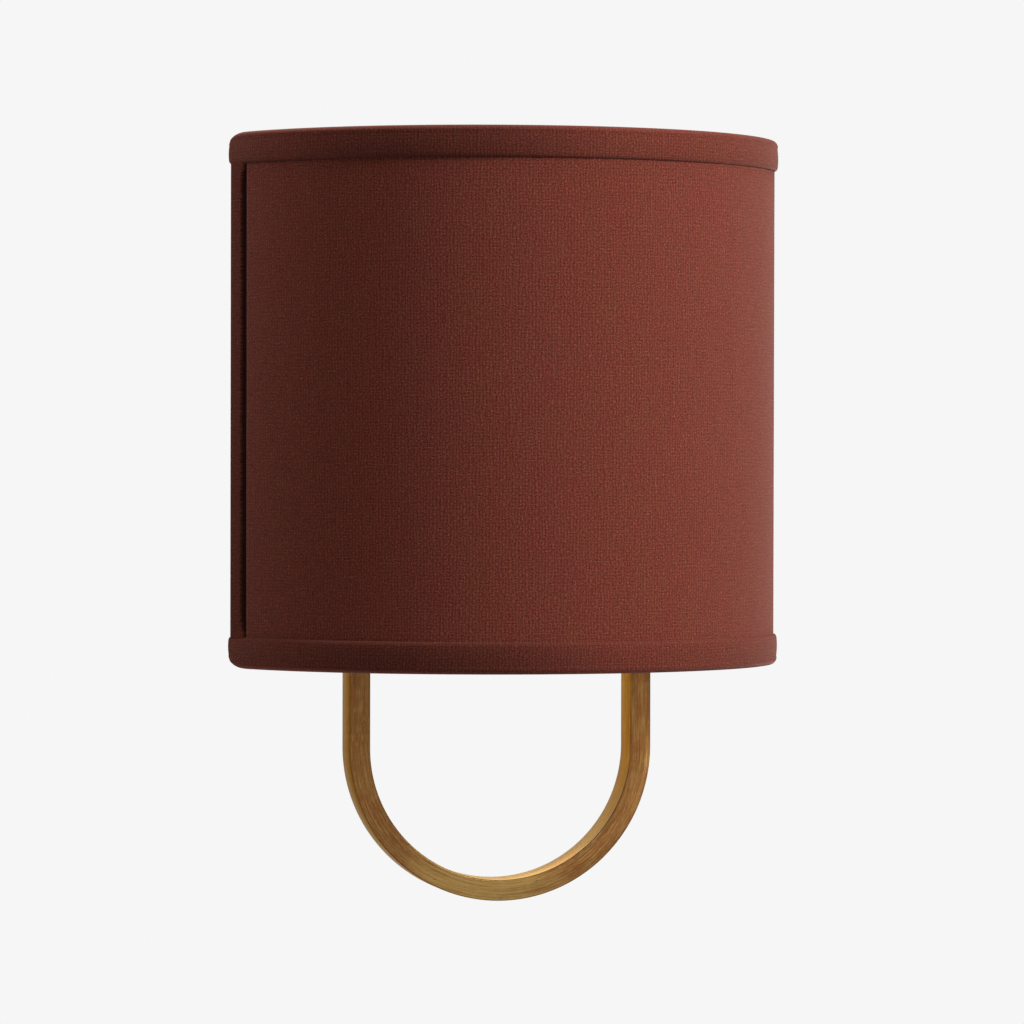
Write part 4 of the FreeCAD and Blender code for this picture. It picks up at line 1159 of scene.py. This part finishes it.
# ------------------------ stage
class LIGHT_OT_stage(bpy.types.Operator):
    """Floor, lamps, surroundings and the camera"""

    bl_idname = "wall_light.stage"
    bl_label = "Stage"

    def execute(self, context):
        self.floor()
        self.world(context.scene)
        s = stage()
        self.lamp("key_lamp", s.key, (1.22, -0.95, 1.02), (0.7, 1.0), (0.0, -0.05, 0.0))
        self.lamp("top_lamp", s.top, (0.15, -0.25, 1.45), (1.0, 0.7), (0.0, -0.02, -0.2))
        self.lamp("fill_lamp", s.fill, (-0.62, -0.10, 0.62), (0.3, 0.3), (-0.1, -0.05, 0.05))
        self.lamp("rim_lamp", s.rim, (-0.42, 0.12, 0.38), (0.2, 0.2), (-0.12, -0.03, 0.08))
        self.lamp("back_lamp", s.back, (0.35, 1.5, 0.6), (1.2, 0.5), (0.0, 0.0, -0.15))
        self.camera(context.scene)
        context.scene.view_settings.view_transform = "Standard"
        return {"FINISHED"}

    def floor(self):
        """A pale disc well below the light, seen from above only, that fades out to its rim."""
        s = stage()
        clear_selection()
        bpy.ops.mesh.primitive_circle_add(vertices=96, radius=s.floor_radius, fill_type="NGON",
                                          location=(0, 0, CAD_LOW.z - s.floor_drop))
        apply_place()
        made = open_mesh("floor")
        bpy.ops.mesh.inset(thickness=0.5 * s.floor_radius)
        close_edit()
        f = Finish("Floor paper", Roughness=0.9, Base_Color=s.floor)
        place = f.place()
        f.bump(f.noise(place, 300.0), 0.1 * MM, 0.2)
        x, y, _ = f.axes(place)
        reach = f.maths("SQRT", f.plus(f.times(x, x), f.times(y, y)))
        rim = f.span(reach, 0.35 * s.floor_radius, 0.98 * s.floor_radius)
        path = f.add("ShaderNodeNewGeometry")
        clear = f.add("ShaderNodeBsdfTransparent")
        unseen = f.maths("MAXIMUM", path.outputs["Backfacing"], rim)
        mix = f.add("ShaderNodeMixShader", None, (unseen, f.shader.outputs[0], clear.outputs[0]))
        f.set(f.nodes["Material Output"], "Surface", mix.outputs[0])
        made.data.materials.append(f.material)

    def world(self, scene):
        """The backdrop as the eye, mirrors and glass see it, and a weaker light all round."""
        world = bpy.data.worlds.new("Studio")
        scene.world = world
        world.use_nodes = True
        w = Nodes(world.node_tree)
        w.nodes.clear()
        ray = w.add("ShaderNodeLightPath").outputs
        paper = stage().paper
        around = w.add("ShaderNodeBackground", Color=paper, Strength=stage().ambient)
        seen = w.add("ShaderNodeBackground", Color=paper)
        direct = w.maths("MAXIMUM", ray["Is Camera Ray"], ray["Is Glossy Ray"])
        direct = w.maths("MAXIMUM", direct, ray["Is Transmission Ray"])
        mix = w.add("ShaderNodeMixShader", None, (direct, around.outputs[0], seen.outputs[0]))
        w.add("ShaderNodeOutputWorld", Surface=mix.outputs[0])

    def lamp(self, name, power, place, spread, aim):
        clear_selection()
        bpy.ops.object.light_add(type="AREA", location=place)
        made = bpy.context.object
        made.name = name
        made.data.shape = "RECTANGLE"
        made.data.size, made.data.size_y = spread
        made.data.energy = power
        made.visible_camera = False
        made.rotation_euler = (Vector(aim) - Vector(place)).to_track_quat("-Z", "Y").to_euler()

    def camera(self, scene):
        s = stage()
        clear_selection()
        bpy.ops.object.camera_add(location=s.camera)
        made = bpy.context.object
        made.name = "camera"
        made.data.lens = s.lens
        forward = Vector((math.sin(s.heading) * math.cos(s.tilt),
                          math.cos(s.heading) * math.cos(s.tilt), math.sin(s.tilt)))
        right = Vector((math.cos(s.heading), -math.sin(s.heading), 0))
        above = right.cross(forward)
        across = right * math.cos(s.lean) + above * math.sin(s.lean)
        upright = above * math.cos(s.lean) - right * math.sin(s.lean)
        made.rotation_euler = Matrix((across, upright, -forward)).transposed().to_euler()
        made.data.clip_end = 20.0
        scene.camera = made


# ------------------------ panel and registration
OPERATORS = (LIGHT_OT_linen_skin, LIGHT_OT_edge_tapes, LIGHT_OT_side_bindings,
             LIGHT_OT_ring_wires, LIGHT_OT_lining, LIGHT_OT_u_bar, LIGHT_OT_bulbs,
             LIGHT_OT_fitting, LIGHT_OT_stage)


class LIGHT_PT_panel(bpy.types.Panel):
    bl_idname = "LIGHT_PT_panel"
    bl_label = "Wall light"
    bl_space_type = "VIEW_3D"
    bl_region_type = "UI"
    bl_category = "Wall light"

    def draw(self, context):
        for operator in OPERATORS:
            self.layout.operator(operator.bl_idname)
        for group in GROUPS:
            settings = getattr(context.scene, group)
            box = self.layout.box()
            for key in settings.__annotations__:
                box.prop(settings, key)


def register():
    for name, group in GROUPS.items():
        bpy.utils.register_class(group)
        setattr(bpy.types.Scene, name, PointerProperty(type=group))
    for operator in OPERATORS:
        bpy.utils.register_class(operator)
    bpy.utils.register_class(LIGHT_PT_panel)


def unregister():
    bpy.utils.unregister_class(LIGHT_PT_panel)
    for operator in reversed(OPERATORS):
        bpy.utils.unregister_class(operator)
    for name, group in GROUPS.items():
        delattr(bpy.types.Scene, name)
        bpy.utils.unregister_class(group)


def main():
    register()
    bpy.ops.wall_light.linen_skin()
    bpy.ops.wall_light.edge_tapes()
    bpy.ops.wall_light.side_bindings()
    bpy.ops.wall_light.ring_wires()
    bpy.ops.wall_light.lining()
    bpy.ops.wall_light.u_bar()
    bpy.ops.wall_light.bulbs()
    bpy.ops.wall_light.fitting()
    bpy.ops.wall_light.stage()
    clear_selection()


if __name__ == "__main__":
    main()
